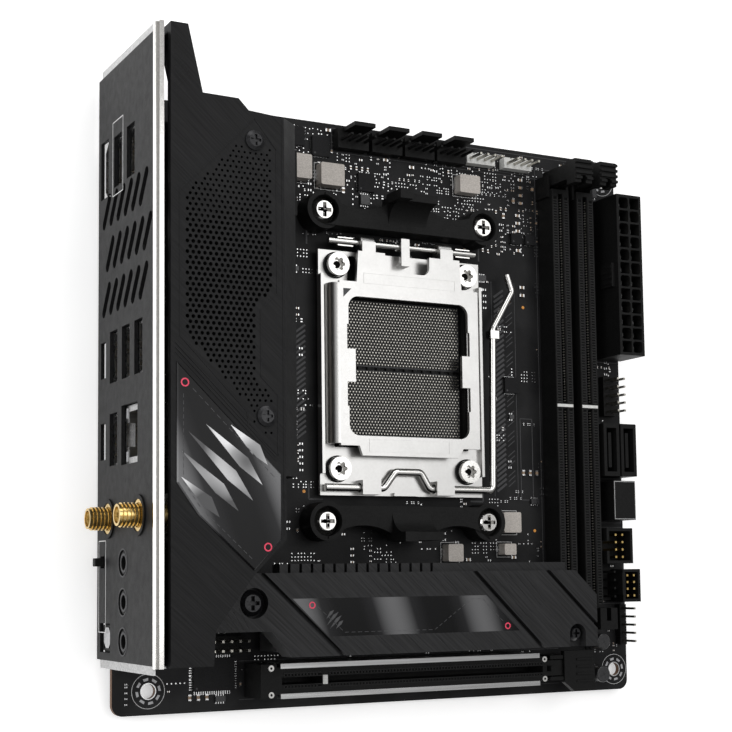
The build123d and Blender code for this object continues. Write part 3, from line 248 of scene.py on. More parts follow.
GREY_INK = grained("grey_ink", (0.05, 0.05, 0.052), (0.08, 0.08, 0.083), 0.6, scale=3000, specular=0.2)
CERAMIC = grained("tan_ceramic", (0.16, 0.10, 0.06), (0.34, 0.25, 0.17), 0.45, scale=4000)
RESISTOR = grained("black_resistor", (0.008, 0.008, 0.009), (0.02, 0.02, 0.022), 0.3, scale=4000)
SHADOW = grained("slot_shadow", (0.001, 0.001, 0.001), (0.003, 0.003, 0.003), 0.8, scale=2000, specular=0.1)
WARM_WIRE = grained("contact_wire", (0.30, 0.29, 0.26), (0.55, 0.53, 0.48), 0.3, 1.0, scale=3000)
PINK = grained("pink_ink", (0.66, 0.03, 0.08), (0.82, 0.06, 0.13), 0.5, scale=3000)
ORANGE = grained("orange_mark", (0.60, 0.22, 0.03), (0.80, 0.36, 0.06), 0.5, scale=3000)
LENS = grained("grey_lens", (0.30, 0.30, 0.31), (0.42, 0.42, 0.43), 0.2, scale=900)
SILVER = graded_silver()
TIN, STEEL, BLACK = MATERIALS["tin"], MATERIALS["bright_steel"], MATERIALS["black_plastic"]
GOLD, WHITE = MATERIALS["gold"], MATERIALS["white_plastic"]


# ------------------------------------------------------------------ mesh building
def circle(x, y, radius, count=20, start=0.0):
    turns = [start + 2 * math.pi * i / count for i in range(count)]
    return [(x + radius * math.cos(t), y + radius * math.sin(t)) for t in turns]


def rectangle(x, y):
    return [(x[0], y[0]), (x[1], y[0]), (x[1], y[1]), (x[0], y[1])]


class Form:
    """A mesh put together from plates, rings and lofts, placed in board millimetres."""

    def __init__(self):
        self.points, self.faces, self.paints = [], [], []

    def face(self, corners, paint):
        self.faces.append(corners)
        self.paints.append(paint)

    def loft(self, rings, paint=0):
        """Skins a row of outlines that have the same number of points, and closes both ends."""
        first, count = len(self.points), len(rings[0])
        for ring in rings:
            self.points += [at(*point) for point in ring]
        for layer in range(len(rings) - 1):
            start = first + layer * count
            for i in range(count):
                j = (i + 1) % count
                self.face((start + i, start + j, start + count + j, start + count + i), paint)
        self.face(tuple(reversed(range(first, first + count))), paint)
        self.face(tuple(range(first + (len(rings) - 1) * count, first + len(rings) * count)), paint)

    def plate(self, outline, low, high, paint=0, axis=2):
        """A flat plate; on axis 0 its outline is in Y and Z and its thickness along X."""
        if axis == 0:
            self.loft([[(end, a, b) for a, b in outline] for end in (low, high)], paint)
        else:
            self.loft([[(a, b, end) for a, b in outline] for end in (low, high)], paint)

    def box(self, x, y, z, paint=0):
        self.plate(rectangle(x, y), z[0], z[1], paint)

    def ring(self, centre, inner, outer, low, high, paint=0, axis=2, parts=24, shown=1.0):
        """A ring cut into wedges; shown below 1 leaves gaps between them."""
        step = 2 * math.pi / parts
        for i in range(parts):
            start, end = i * step, (i + shown) * step
            corners = ((inner, start), (outer, start), (outer, end), (inner, end))
            self.plate([(centre[0] + r * math.cos(t), centre[1] + r * math.sin(t)) for r, t in corners],
                       low, high, paint, axis)

    def line(self, start, end, width, low, high, paint=0, axis=2):
        """A straight raised stroke."""
        along = (Vector(end) - Vector(start)).normalized()
        across = Vector((-along.y, along.x)) * width / 2
        a, b = Vector(start), Vector(end)
        self.plate([tuple(a + across), tuple(a - across), tuple(b - across), tuple(b + across)],
                   low, high, paint, axis)

    def outline(self, points, width, low, high, paint=0, axis=2):
        for a, b in zip(points, points[1:] + points[:1]):
            self.line(a, b, width, low, high, paint, axis)


def piece(name, form, materials, body="board", bevel=0.0, smooth=False):
    """Makes the mesh object of a form and lets it ride on a CAD body."""
    mesh = bpy.data.meshes.new(name)
    mesh.from_pydata([tuple(p) for p in form.points], [], form.faces)
    for material in materials:
        mesh.materials.append(material)
    mesh.polygons.foreach_set("material_index", form.paints)
    mesh.polygons.foreach_set("use_smooth", [smooth] * len(form.faces))
    mesh.update()
    thing = bpy.data.objects.new(name, mesh)
    scene.collection.objects.link(thing)
    if bevel:
        soften(thing, bevel)
    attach(thing, body)
    return thing


def soften(thing, width, segments=2):
    """Rounds the sharp edges, so that they catch the light as moulded or stamped ones do."""
    bevel = thing.modifiers.new("edge", "BEVEL")
    bevel.width = width * MM
    bevel.segments = segments
    bevel.limit_method = "ANGLE"
    bevel.angle_limit = math.radians(38)
    bevel.harden_normals = True


# ------------------------------------------------------------------ the CAD nodes' finishes
EDGE = 0.15
EDGES = {"grille": 0.06, "io_plate": 0.1, "cooler_bracket_top": 0.9, "cooler_bracket_bottom": 0.9,
         "cooler_screws": 0.3, "socket_screws": 0.35, "socket_load_plate": 0.45, "socket_frame": 0.25,
         "io_cover": 0.3, "m2_heatsink": 0.35, "chokes": 0.35, "socket_lever": 0.05, "pcb": 0.08,
         "dimm_latch_a": 0.3, "dimm_latch_b": 0.3, "pcie_latch": 0.4, "solder_tails": 0.0,
         "chipset_heatsink": 0.0, "vrm_heatsink": 0.0, "exhaust_fan_rotor": 0.2, "connector_pins": 0.0,
         "rear_button": 0.0, "coin_cell": 0.0, "can_capacitors": 0.0, "antenna_connectors": 0.08}


def dress_cad_nodes():
    """Gives every CAD node its slot's material and rounded edges."""
    slots = {part["node"]: part["material_slot"] for part in frame["record"]["subparts"]}
    for name, node in frame["nodes"].items():
        node.data.materials.clear()
        node.data.materials.append(MATERIALS[slots[name]])
        width = EDGES.get(name, EDGE)
        if width:
            soften(node, width)


# ------------------------------------------------------------------ board: pads, ink, small parts
INK = 0.03


def add_hole_pads():
    """The split plated ring and thin ink circle round each mounting hole, on both sides."""
    form = Form()
    for hole in MOUNT_HOLES:
        for low, high in ((0.0, 0.06), (UNDERSIDE - 0.06, UNDERSIDE)):
            form.ring(hole, 2.9, 3.6, low, high, 2, parts=8, shown=0.55)
            form.ring(hole, 2.0, 2.25, low, high, 0)
            form.ring(hole, 4.6, 4.72, low, high - INK, 1, parts=32)
    form.ring((50.9, 155.9), 1.3, 2.9, 0.0, 0.06, 1)
    piece("hole_pads", form, [TIN, SILK, LENS])


def add_ink():
    """Printed outlines round the connectors and sockets, tick marks, and a plain hatch."""
    form = Form()
    for node, margin in (("atx_power", 0.7), ("sata_ports", 0.8), ("box_headers", 0.6), ("rgb_headers", 0.6),
                         ("front_usb_c_header", 0.8), ("fan_headers", 0.6), ("cpu_power", 0.7)):
        (x0, x1), (y0, y1) = span(node, 0), span(node, 1)
        if node == "fan_headers":
            y0 = y1 - 6.0
        x1 = min(x1, BOARD - 1.2)
        form.outline(rectangle((x0 - margin, x1 + margin), (y0 - margin, y1 + margin)), 0.15, 0, INK, 1)
    for x in DIMM_CENTRES:
        form.outline(rectangle((x - 4.1, x + 4.1), (18.6, 165.2)), 0.15, 0, INK, 1)
    socket = span("socket_frame", 0), span("socket_frame", 1)
    for x, inward in ((socket[0][0] - 2.2, 1), (socket[0][1] + 2.2, -1)):
        for y, down in ((socket[1][0] - 1.0, 1), (socket[1][1] + 1.6, -1)):
            form.line((x, y), (x + inward * 4.5, y), 0.5, 0, INK, 1)
            form.line((x, y), (x, y + down * 4.5), 0.5, 0, INK, 1)
    form.outline(rectangle((131.6, 136.0), (59.5, 84.8)), 0.2, 0, INK, 1)
    for index in range(40):
        y = 62.0 + 1.55 * index
        form.line((122.8, y), (126.2, y + 2.4), 0.7, 0, INK, 1)
        if index % 4:
            form.line((127.0, y), (129.4, y + 1.9), 0.22, 0, INK, 1)
        if 8 < index < 30:
            form.line((54.6, y), (57.8, y + 2.4), 0.6, 0, INK, 1)
    for edge in (121.9, 130.4):
        form.line((edge, 60.4), (edge, 127.4), 0.16, 0, INK, 1)
    for x, y, wide, deep in CHOKE_PLACES:
        frame_x = (x - wide / 2 - 0.6, x + wide / 2 + 0.6)
        frame_y = (y - deep / 2 - 0.6, y + deep / 2 + 0.6)
        form.outline(rectangle(frame_x, frame_y), 0.14, 0, INK, 0)
    for x, y in CAN_PLACES:
        form.ring((x, y), 2.9, 3.06, 0, INK, 0)
    for y in (CARD_SLOT_Y - 5.3, CARD_SLOT_Y + 5.3):
        form.line((36.6, y), (144.0, y), 0.15, 0, INK, 1)
    for place in ((133.6, 120.0), (136.2, 50.0), (57.0, 61.0)):
        form.plate(circle(*place, 0.5, 10), 0, 0.05, 2)
    piece("board_ink", form, [SILK, GREY_INK, ORANGE])


def bare_board(x, y, reach, side):
    """True where nothing but the bare board shows from above (side 1) or from below (side -1)."""
    graph = bpy.context.evaluated_depsgraph_get()
    for dx in (-reach, 0, reach):
        for dy in (-reach, 0, reach):
            found = scene.ray_cast(graph, at(x + dx, y + dy, 80 * side), (0, 0, -side))
            if not found[0] or found[4].name != "pcb":
                return False
    return True


SMALL_PARTS = [((0.6, 0.32, 0.25), 1), ((1.0, 0.5, 0.35), 1), ((0.6, 0.32, 0.22), 2), ((1.0, 0.5, 0.3), 2),
               ((0.6, 0.32, 0.25), 1), ((0.6, 0.32, 0.22), 2), ((1.6, 0.8, 0.5), 1)]


def small_part(form, x, y, size, paint, upright, base, side):
    """A chip capacitor or resistor: its body between two soldered end caps."""
    long, wide, tall = size
    if upright:
        half_x, half_y = wide / 2, long / 2
    else:
        half_x, half_y = long / 2, wide / 2
    cap = long * 0.24
    heights = sorted((base, base + side * tall))
    form.box((x - half_x, x + half_x), (y - half_y, y + half_y), heights, paint)
    cap_heights = sorted((base, base + side * (tall + 0.03)))
    for end in (-1, 1):
        if upright:
            ends = sorted((y + end * (half_y + 0.05), y + end * (half_y - cap)))
            form.box((x - half_x - 0.04, x + half_x + 0.04), ends, cap_heights, 0)
        else:
            ends = sorted((x + end * (half_x + 0.05), x + end * (half_x - cap)))
            form.box(ends, (y - half_y - 0.04, y + half_y + 0.04), cap_heights, 0)


def small_chip(form, x, y, wide, deep, base, side):
    """A small leaded chip with its row of feet on two sides."""
    heights = sorted((base, base + side * 0.9))
    form.box((x - wide / 2, x + wide / 2), (y - deep / 2, y + deep / 2), heights, 2)
    feet = max(2, int(wide / 0.65))
    for index in range(feet):
        foot = x - wide / 2 + (index + 0.5) * wide / feet
        for end in (-1, 1):
            form.box((foot - 0.14, foot + 0.14), sorted((y + end * deep / 2, y + end * (deep / 2 + 0.55))),
                     sorted((base, base + side * 0.2)), 0)


def add_small_parts(name, side, clusters, seed):
    """Scatters rows of small parts, chips and via pads over the bare stretches of one side."""
    dice = random.Random(seed)
    form = Form()
    taken = set()
    base = 0.0 if side > 0 else UNDERSIDE

    def free(x, y, reach):
        shifts = (-reach, 0, reach)
        cells = {(round((x + i) / 0.6), round((y + j) / 0.6)) for i in shifts for j in shifts}
        near_hole = any(math.dist((x, y), hole) < 5.6 for hole in MOUNT_HOLES)
        inside = 1.5 < x < BOARD - 1.5 and 1.5 < y < BOARD - 1.5
        if not inside or near_hole or cells & taken or not bare_board(x, y, reach, side):
            return False
        taken.update(cells)
        return True

    for _ in range(clusters):
        x, y = dice.uniform(3, BOARD - 3), dice.uniform(3, BOARD - 3)
        if side > 0 and dice.random() < 0.35:
            x, y = dice.uniform(48, 140), dice.uniform(136, 168)
        quiet = 121 < x < 139 and 60 < y < 135 or 60 < x < 117 and 60 < y < 135
        if quiet and dice.random() < 0.75:
            continue
        kind = dice.random()
        along_x = dice.random() < 0.5
        if kind < 0.12:
            wide, deep = dice.choice([(1.6, 1.3), (2.9, 1.6), (3.0, 3.0), (4.9, 3.9)])
            if free(x, y, max(wide, deep) / 2 + 0.6):
                small_chip(form, x, y, wide, deep, base, side)
            continue
        if kind < 0.3:
            pitch, deep = dice.choice([0.8, 1.0]), dice.randint(2, 5)
            for i in range(dice.randint(4, 9)):
                for j in range(deep):
                    px, py = x + i * pitch, y + j * pitch
                    if dice.random() < 0.85 and free(px, py, 0.25):
                        form.plate(circle(px, py, 0.19, 6), *sorted((base, base + side * 0.04)), 0)
            continue
        size, paint = dice.choice(SMALL_PARTS)
        pitch = size[1] + 0.45
        for index in range(dice.randint(2, 9)):
            shift = index * pitch
            px, py = (x + shift, y) if along_x else (x, y + shift)
            if kind < 0.42:
                if free(px, py, 0.3):
                    form.plate(circle(px, py, 0.22, 8), *sorted((base, base + side * 0.04)), 0)
            elif free(px, py, size[0] / 2):
                small_part(form, px, py, size, paint, along_x, base, side)
    piece(name, form, [TIN, CERAMIC, RESISTOR])


def add_chip_feet():
    """Feet along the four sides of every larger chip, and a small moulded dot by its first foot."""
    form = Form()
    for x, y, wide, deep in CHIP_PLACES:
        reach, foot, pitch = (1.0, 0.13, 0.65) if wide > 10 else (0.25, 0.12, 0.5)
        for side in (-1, 1):
            for index in range(int((wide - 0.6) / pitch)):
                px = x - wide / 2 + 0.5 + index * pitch
                ends = sorted((y + side * deep / 2, y + side * (deep / 2 + reach)))
                form.box((px - foot, px + foot), ends, (0, 0.22))
            for index in range(int((deep - 0.6) / pitch)):
                py = y - deep / 2 + 0.5 + index * pitch
                ends = sorted((x + side * wide / 2, x + side * (wide / 2 + reach)))
                form.box(ends, (py - foot, py + foot), (0, 0.22))
        form.plate(circle(x - wide / 2 + 0.8, y - deep / 2 + 0.8, 0.3, 12), 1.3, 1.33, 1)
    for x, y, wide, deep in CHOKE_PLACES:
        for side in (-1, 1):
            ends = sorted((x + side * wide / 2, x + side * (wide / 2 + 0.5)))
            form.box(ends, (y - deep / 4, y + deep / 4), (0, 0.9))
    piece("chip_feet", form, [TIN, GREY_INK])


def add_can_tops():
    """The bare metal tops of the round capacitors, pressed with a cross, and their square bases."""
    form = Form()
    for x, y in CAN_PLACES:
        rims = ((2.15, 6.2), (2.1, 6.32), (1.8, 6.34))
        form.loft([[(*p, z) for p in circle(x, y, r, 28)] for r, z in rims], 0)
        for turn in (0.4, 0.4 + math.pi / 2):
            arm = Vector((math.cos(turn), math.sin(turn))) * 1.3
            form.line((x - arm.x, y - arm.y), (x + arm.x, y + arm.y), 0.22, 6.34, 6.38, 1)
        form.ring((x, y), 2.5, 2.62, 0.9, 1.2, 1, parts=28)
        form.box((x - 2.7, x + 2.7), (y - 2.7, y + 2.7), (0, 0.5), 2)
    piece("can_tops", form, [MATERIALS["can"], RESISTOR, BLACK])


# ------------------------------------------------------------------ processor socket
def add_contacts():
    """Rows of sprung contact tips over both halves of the socket's floor."""
    form = Form()
    floor = span("socket_contacts", 2)[1]
    for half in (-1, 1):
        for row in range(22):
            y = SOCKET[1] + half * (1.2 + row * 0.86)
            for column in range(38):
                x = SOCKET[0] - 19.2 + (column + (row % 2) / 2) * 1.02
                foot = rectangle((x - 0.30, x - 0.02), (y - 0.24, y + 0.06))
                tip = rectangle((x + 0.04, x + 0.38), (y - 0.06, y + 0.26))
                form.loft([[(*p, floor) for p in foot], [(*p, floor + 0.6) for p in tip]], 0)
    piece("socket_contact_tips", form, [WARM_WIRE])


def add_socket_details():
    """Plate marks, pressed beads and the rim of the contact field."""
    form = Form()
    top = span("socket_load_plate", 2)[1]
    form.plate([(66.6, 119.6), (69.2, 119.6), (66.6, 117.0)], top, top + INK, 0)
    form.outline(rectangle((73.4, 104.2), (121.6, 124.6)), 0.16, top, top + 0.08, 1)
    form.outline(rectangle((74.6, 101.4), (72.4, 76.0)), 0.16, top, top + 0.08, 1)
    piece("load_plate_marks", form, [RESISTOR, MATERIALS["steel"]], body="load_plate")
    rim = Form()
    body_top = span("socket_body", 2)[1]
    rim.outline(rectangle((SOCKET[0] - 20.9, SOCKET[0] + 20.9), (SOCKET[1] - 20.9, SOCKET[1] + 20.9)), 0.5,
                body_top, body_top + 0.35, 0)
    for index in range(12):
        rim.box((SOCKET[0] - 17.6 + index * 3.1, SOCKET[0] - 16.4 + index * 3.1),
                (SOCKET[1] - 0.45, SOCKET[1] + 0.45), (2.2, 2.9), 0)
    piece("contact_field_rim", rim, [BLACK])


def around_socket(reach):
    """The four places at the same reach from the socket's centre."""
    return [(SOCKET[0] + sx * reach[0], SOCKET[1] + sy * reach[1]) for sx in (-1, 1) for sy in (-1, 1)]


def add_screw_collars():
    """Washers round the socket and cooler screws, coloured black as painted shade for the dark gap round
    each head, and the painted shadow in their driver recesses.
    """
    form = Form()
    # painted shade: the washer rings are black so that they stand in for the shade round each screw head
    for reach, radius, low in ((COOLER_REACH, 4.1, 5.0), (CLAMP_REACH, 3.9, 3.1)):
        for centre in around_socket(reach):
            form.ring(centre, radius - 0.4, radius, low, low + 0.5, 0, parts=28)
    piece("screw_collars_painted_shade", form, [BLACK])
    # painted shadow: dark cross and disc plates on the floor of each driver recess stand in for the shade
    # inside it
    recess = Form()
    low, high = span("cooler_screws", 2)[1] - 1.65, span("socket_screws", 2)[1] - 1.55
    for cooler, clamp in zip(around_socket(COOLER_REACH), around_socket(CLAMP_REACH)):
        x, y = cooler
        for wide, deep in ((1.6, 0.45), (0.45, 1.6)):
            recess.box((x - wide, x + wide), (y - deep, y + deep), (low, low + 0.06), 0)
        recess.plate(circle(*clamp, 1.1, 18), high, high + 0.06, 0)
    piece("screw_recess_painted_shadow", recess, [SHADOW])


# ------------------------------------------------------------------ slots
def add_ladder(form, along, across, low, high, pitch, bar, axis):
    """A strip of small windows: a floor of painted shade, a dark sheet standing in for the shade inside the
    windows, crossed by bars, with a rail on each side.
    """
    start, end = along
    # painted shade: the floor plate (paint 1) is a dark sheet where the windows show only shade
    if axis == 1:
        form.box(across, along, (low - 0.02, low + 0.02), 1)
    else:
        form.box(along, across, (low - 0.02, low + 0.02), 1)
    for index in range(int((end - start) / pitch)):
        place = (start + index * pitch, start + index * pitch + bar)
        x, y = (across, place) if axis == 1 else (place, across)
        form.box(x, y, (low, high), 0)
    for edge in across:
        rail = (edge - 0.12, edge + 0.12)
        x, y = (rail, along) if axis == 1 else (along, rail)
        form.box(x, y, (low, high), 0)


def add_memory_details():
    """Window ladders, contact rows and the white key marks of both memory slots."""
    form = Form()
    top = 8.0
    for centre in DIMM_CENTRES:
        for side in (-1, 1):
            strip = sorted((centre + side * 1.25, centre + side * 2.85))
            for along in ((27.0, 87.6), (89.6, 154.6)):
                add_ladder(form, along, strip, top, top + 0.14, 0.85, 0.34, 1)
            for index in range(150):
                y = 27.2 + index * 0.85
                if abs(y - 88.6) > 1.4:
                    contact = sorted((centre + side * 0.35, centre + side * 0.85))
                    form.box(contact, (y, y + 0.3), (6.6, 7.2), 3)
        form.box((centre - 2.95, centre + 2.95), (88.15, 89.05), (7.6, top + 0.16), 2)
    lighter = grained("slot_plastic", (0.012, 0.012, 0.012), (0.028, 0.028, 0.028), 0.42, **PLASTIC)
    piece("memory_slot_details", form, [lighter, SHADOW, WHITE, WARM_WIRE])


def add_card_slot_details():
    """Window ladders, rivets and the white key of the expansion slot."""
    form = Form()
    top = 11.2
    for side in (-1, 1):
        strip = sorted((CARD_SLOT_Y + side * 1.15, CARD_SLOT_Y + side * 2.0))
        for along in ((45.0, 56.6), (59.0, 130.2)):
            add_ladder(form, along, strip, top, top + 0.14, 1.0, 0.42, 0)
        for x, away, seat in ((41.2, 3.6, top + 0.3), (131.0, 2.9, top)):
            form.ring((x, CARD_SLOT_Y + side * away), 0.35, 0.85, seat, seat + 0.22, 3, parts=16)
    form.box((57.0, 58.4), (6.95, 9.45), (10.2, top + 0.3), 2)
    lighter = grained("card_slot_plastic", (0.010, 0.010, 0.010), (0.024, 0.024, 0.024), 0.42, **PLASTIC)
    piece("card_slot_details", form, [lighter, SHADOW, WHITE, STEEL])
    ribs = Form()
    for index in range(4):
        y = 3.6 + index * 2.2
        ribs.box((144.0, 150.0), (y, y + 0.7), (9.4, 9.75), 0)
    piece("card_latch_ribs", ribs, [BLACK], body="card_latch", bevel=0.1)


# ------------------------------------------------------------------ cover and heatsink graphics
COVER_RIM = [(22.8, 153.3), (2.5, 132.5), (2.5, 96.1), (20.4, 77.8), (20.6, 74.7), (28.8, 67.1),
             (28.8, 82.5), (24.2, 86.9), (24.2, 104.0), (28.8, 108.5), (28.8, 146.0)]


def add_cover_details():
    """A raised line round the grille, and three ribs that run beside the badge."""
    form = Form()
    top = 44.5
    form.outline(COVER_RIM, 0.35, top, top + 0.1, 0)
    for offset in (1.5, 2.7, 3.9):
        form.line((1.4, 90.4 + offset), (28.6 - offset * 0.2, 64.0 + offset * 1.1), 0.4, top, top + 0.12, 0)
    for index in range(9):
        end = (5.4 - index * 0.22, 162.4 + index * 1.3)
        form.line((1.2, 158.0 + index * 1.5), end, 0.3, top, top + 0.08, 0)
    form.line((30.4, 47.0), (30.4, 154.2), 0.25, top, top + 0.1, 0)
    piece("cover_ribs", form, [MATERIALS["cover"]])


def blades(form, origin, along, count, reach, width, low, high, paint):
    """A plain pattern of parallel slivers whose lengths rise and fall."""
    direction = Vector(along).normalized()
    across = Vector((-direction.y, direction.x))
    for index in range(count):
        middle = Vector(origin) + across * (index - (count - 1) / 2) * width * 1.45
        length = reach * (0.4 + 0.6 * math.sin(math.pi * (index + 0.5) / count))
        start, end = middle - direction * length * 0.65, middle + direction * length * 0.35
        sliver = [start, middle - across * width * 0.35, end, middle + across * width * 0.65]
        form.plate([tuple(p) for p in sliver], low, high, paint)


def dashes(form, start, end, count, width, low, high, paint):
    a, b = Vector(start), Vector(end)
    for index in range(count):
        p, q = a.lerp(b, index / count), a.lerp(b, (index + 0.6) / count)
        form.line(tuple(p), tuple(q), width, low, high, paint)


def add_badge_prints():
    """The slivers, dashed lines and small pink rings printed on the two mirror badges."""
    form = Form()
    top = span("cover_badge", 2)[1]
    blades(form, (15.6, 61.4), (1, -0.98), 5, 24.0, 3.2, top, top + INK, 0)
    for start, end, count in (((3.2, 81.6), (3.2, 61.0), 12), ((5.6, 83.0), (28.0, 61.0), 14),
                              ((3.2, 60.0), (8.0, 53.2), 4), ((9.0, 52.4), (21.8, 40.6), 9)):
        dashes(form, start, end, count, 0.16, top, top + INK, 2)
    for place in ((3.6, 84.4), (25.6, 44.0)):
        form.ring(place, 0.75, 1.1, top, top + INK, 1)
    low = span("m2_badge", 2)[1]
    blades(form, (53.4, 25.4), (1, 1), 4, 5.2, 0.9, low, low + INK, 0)
    for start, end, count in (((48.0, 28.6), (56.0, 21.6), 5), ((56.0, 21.6), (84.0, 21.6), 14),
                              ((84.0, 21.6), (96.0, 29.8), 8), ((96.0, 29.8), (99.8, 29.8), 2),
                              ((99.8, 29.8), (107.0, 22.8), 5)):
        dashes(form, start, end, count, 0.13, low, low + INK, 2)
    for place in ((46.4, 29.0), (108.0, 22.0)):
        form.ring(place, 0.6, 0.95, low, low + INK, 1)
    piece("badge_prints", form, [SILVER, PINK, GREY_INK])


def add_heatsink_lines():
    """Fine raised lines that slant across the drive heatsink, and a few short ones near its end."""
    form = Form()
    top = span("m2_heatsink", 2)[1]
    for index in range(10):
        x = 60.0 + index * 3.4
        form.line((x, 36.8), (x + 4.6, 32.0), 0.22, top, top + 0.07, 0)
    for index in range(6):
        x = 100.6 + index * 2.6
        form.line((x, 36.8), (x + 12.6 - index, 23.6 + index), 0.22, top, top + 0.07, 0)
    for index in range(5):
        x = 58.0 + index * 9.0
        form.line((x, 20.0), (x + 3.8, 16.0), 0.22, top, top + 0.07, 0)
    for index in range(5):
        x = 19.0 + index * 1.6
        form.line((x, 26.0 + index * 0.6), (x + 3.0, 23.0), 0.2, top, top + 0.07, 0)
    piece("heatsink_lines", form, [MATERIALS["heatsink"]])


# ------------------------------------------------------------------ rear ports
USB_A = [(147.0, 14.6), (147.0, 25.0), (94.9, 11.6), (94.9, 21.4), (94.9, 31.2), (73.0, 11.6)]
USB_C = [(94.9, 3.0), (73.0, 3.0)]
LAN, HDMI = (73.4, 24.4), (147.0, 3.6)
ANTENNAS = [(52.3, 8.0), (52.3, 32.0)]
JACKS = [(40.6, 19.6), (30.6, 19.6), (20.6, 19.6)]


def add_port_details():
    """Contacts in the port tongues, network pins and lamps, jack and antenna rings, printed frames."""
    form = Form()
    face = span("io_plate", 0)[0]
    front = face + 1.2
    for y, z in USB_A:
        for index in range(4):
            place = y + (index - 1.5) * 2.5
            form.box((front + 0.9, front + 7.0), (place - 0.5, place + 0.5), (z - 0.02, z + 0.12), 0)
        # painted shade: a black plate across the mouth of each USB-A port above its tongue fills the hollow
        # where the plug goes
        form.plate(rectangle((y - 5.2, y + 5.2), (z + 0.12, z + 1.88)), front + 0.66, front + 0.8, 3, axis=0)
    for y, z in USB_C:
        for index in range(8):
            place = y + (index - 3.5) * 0.7
            for height in (-0.4, 0.36):
                form.box((front + 0.9, front + 4.6), (place - 0.16, place + 0.16),
                         (z + height, z + height + 0.06), 0)
    for index in range(9):
        place = HDMI[0] + (index - 4) * 1.1
        form.box((front + 1.0, front + 6.0), (place - 0.22, place + 0.22),
                 (HDMI[1] - 0.56, HDMI[1] - 0.5), 0)
    for index in range(8):
        place = LAN[0] + (index - 3.5) * 1.02
        form.box((front + 1.4, front + 9.0), (place - 0.17, place + 0.17), (LAN[1] + 3.6, LAN[1] + 4.5), 0)
    for side in (-1, 1):
        lamp = (LAN[0] + side * 5.6 - 1.3, LAN[0] + side * 5.6 + 1.3)
        form.plate(rectangle(lamp, (LAN[1] - 5.4, LAN[1] - 3.9)), front - 0.12, front, 4, axis=0)
    for place in JACKS:
        form.ring(place, 1.9, 2.5, front - 1.05, front - 0.9, 1, axis=0, parts=28)
        form.ring(place, 3.35, 3.7, face - 0.08, face, 1, axis=0, parts=32)
    mouth = span("antenna_connectors", 0)[0]
    for place in ANTENNAS:
        form.ring(place, 4.1, 5.2, face - 0.5, face, 3, axis=0, parts=32)
        form.ring(place, 3.2, 4.0, face - 0.3, face + 0.9, 0, axis=0, parts=32)
        form.ring(place, 0.9, 2.05, mouth + 1.6, mouth + 2.4, 5, axis=0, parts=24)
    (y0, y1), (z0, z1) = span("optical_port", 1), span("optical_port", 2)
    window = [((y0 + y1) / 2 + 2.9 * math.cos(t), (z0 + z1) / 2 + 2.9 * math.sin(t))
              for t in (math.radians(22.5 + 45 * turn) for turn in range(8))]
    shutter = span("optical_port", 0)[0]
    form.plate(window, shutter - 0.1, shutter, 4, axis=0)
    piece("port_details", form, [GOLD, GREY_INK, TIN, BLACK, LENS, WHITE])
    ink = Form()
    for y, z in (((138.0, 158.0), (10.4, 18.8)), ((22.6, 46.6), (-0.2, 5.6))):
        ink.outline(rectangle(y, z), 0.22, face - INK, face, 0, axis=0)
    piece("port_frames", ink, [SILK])


# ------------------------------------------------------------------ connectors and underside
PIN_ROWS = [(2, 5, 164.6, 93.0, 2.5, 8.62), (1, 5, 167.4, 20.4, 2.5, 8.62), (5, 2, 31.0, 18.0, 2.5, 8.62),
            (4, 1, 117.4, 164.8, 2.8, 9.02), (4, 1, 131.0, 164.8, 2.8, 9.02)]


def add_connector_details():
    """Bright collars in the power connectors, pin tips on the headers and the clip's ribs."""
    form = Form()
    for px, py, nx, ny in ((164.1, 107.7, 2, 12), (42.7, 141.1, 2, 4)):
        for i in range(nx):
            for j in range(ny):
                form.ring((px + 4.2 * i, py + 4.2 * j), 0.6, 1.05, 8.6, 9.6, 0, parts=10)
    for index in range(4):
        y = 128.0 + index * 1.7
        form.box((160.0, 160.3), (y, y + 0.8), (6.0, 10.6), 1)
    (x0, x1), (y0, y1) = span("front_usb_c_header", 0), span("front_usb_c_header", 1)
    top = span("front_usb_c_header", 2)[1]
    form.box((x0 + 0.25, x1 - 0.25), (y0 + 0.25, y1 - 0.25), (top, top + 0.03), 1)
    form.plate(rectangle((x0 - 0.15, x1 + 0.15), (y0 - 0.15, y1 + 0.15)), 0.2, top - 0.2, 1)
    for nx, ny, x, y, foot, tip in PIN_ROWS:
        for i in range(nx):
            for j in range(ny):
                px, py = x + (i - (nx - 1) / 2) * 2.54, y + (j - (ny - 1) / 2) * 2.54
                form.box((px - 0.34, px + 0.34), (py - 0.34, py + 0.34), (foot, tip), 2)
    for index in range(9):
        y = y0 + 2.2 + index * 0.98
        for x in (163.3, 165.7):
            form.box((x - 0.2, x + 0.2), (y - 0.22, y + 0.22), (7.0, 8.6), 0)
    piece("connector_details", form, [TIN, BLACK, WARM_WIRE])


def add_solder_joints():
    """A cone of solder round every pin end that comes through the board."""
    form = Form()
    places = [(9.0 + (i - 1) * 5.0, 91.0 + (j - 6.5) * 10.6) for i in range(3) for j in range(14)]
    places += [(147.9 + (i - 0.5) * 9.4, 88.4 + (j - 5.5) * 11.6) for i in range(2) for j in range(12)]
    places += [(166.2 + (i - 0.5) * 4.2, 130.8 + (j - 5.5) * 4.2) for i in range(2) for j in range(12)]
    places += [(87.5 + (i - 8.5) * 4.8, 8.2 + (j - 0.5) * 4.0) for i in range(18) for j in range(2)]
    for x, y in places:
        rings = ((1.15, 0.0), (0.85, -0.18), (0.62, -0.6), (0.52, -1.1))
        form.loft([[(*p, UNDERSIDE + z) for p in circle(x, y, r, 14)] for r, z in rings], 0)
    piece("solder_joints", form, [TIN], smooth=True)


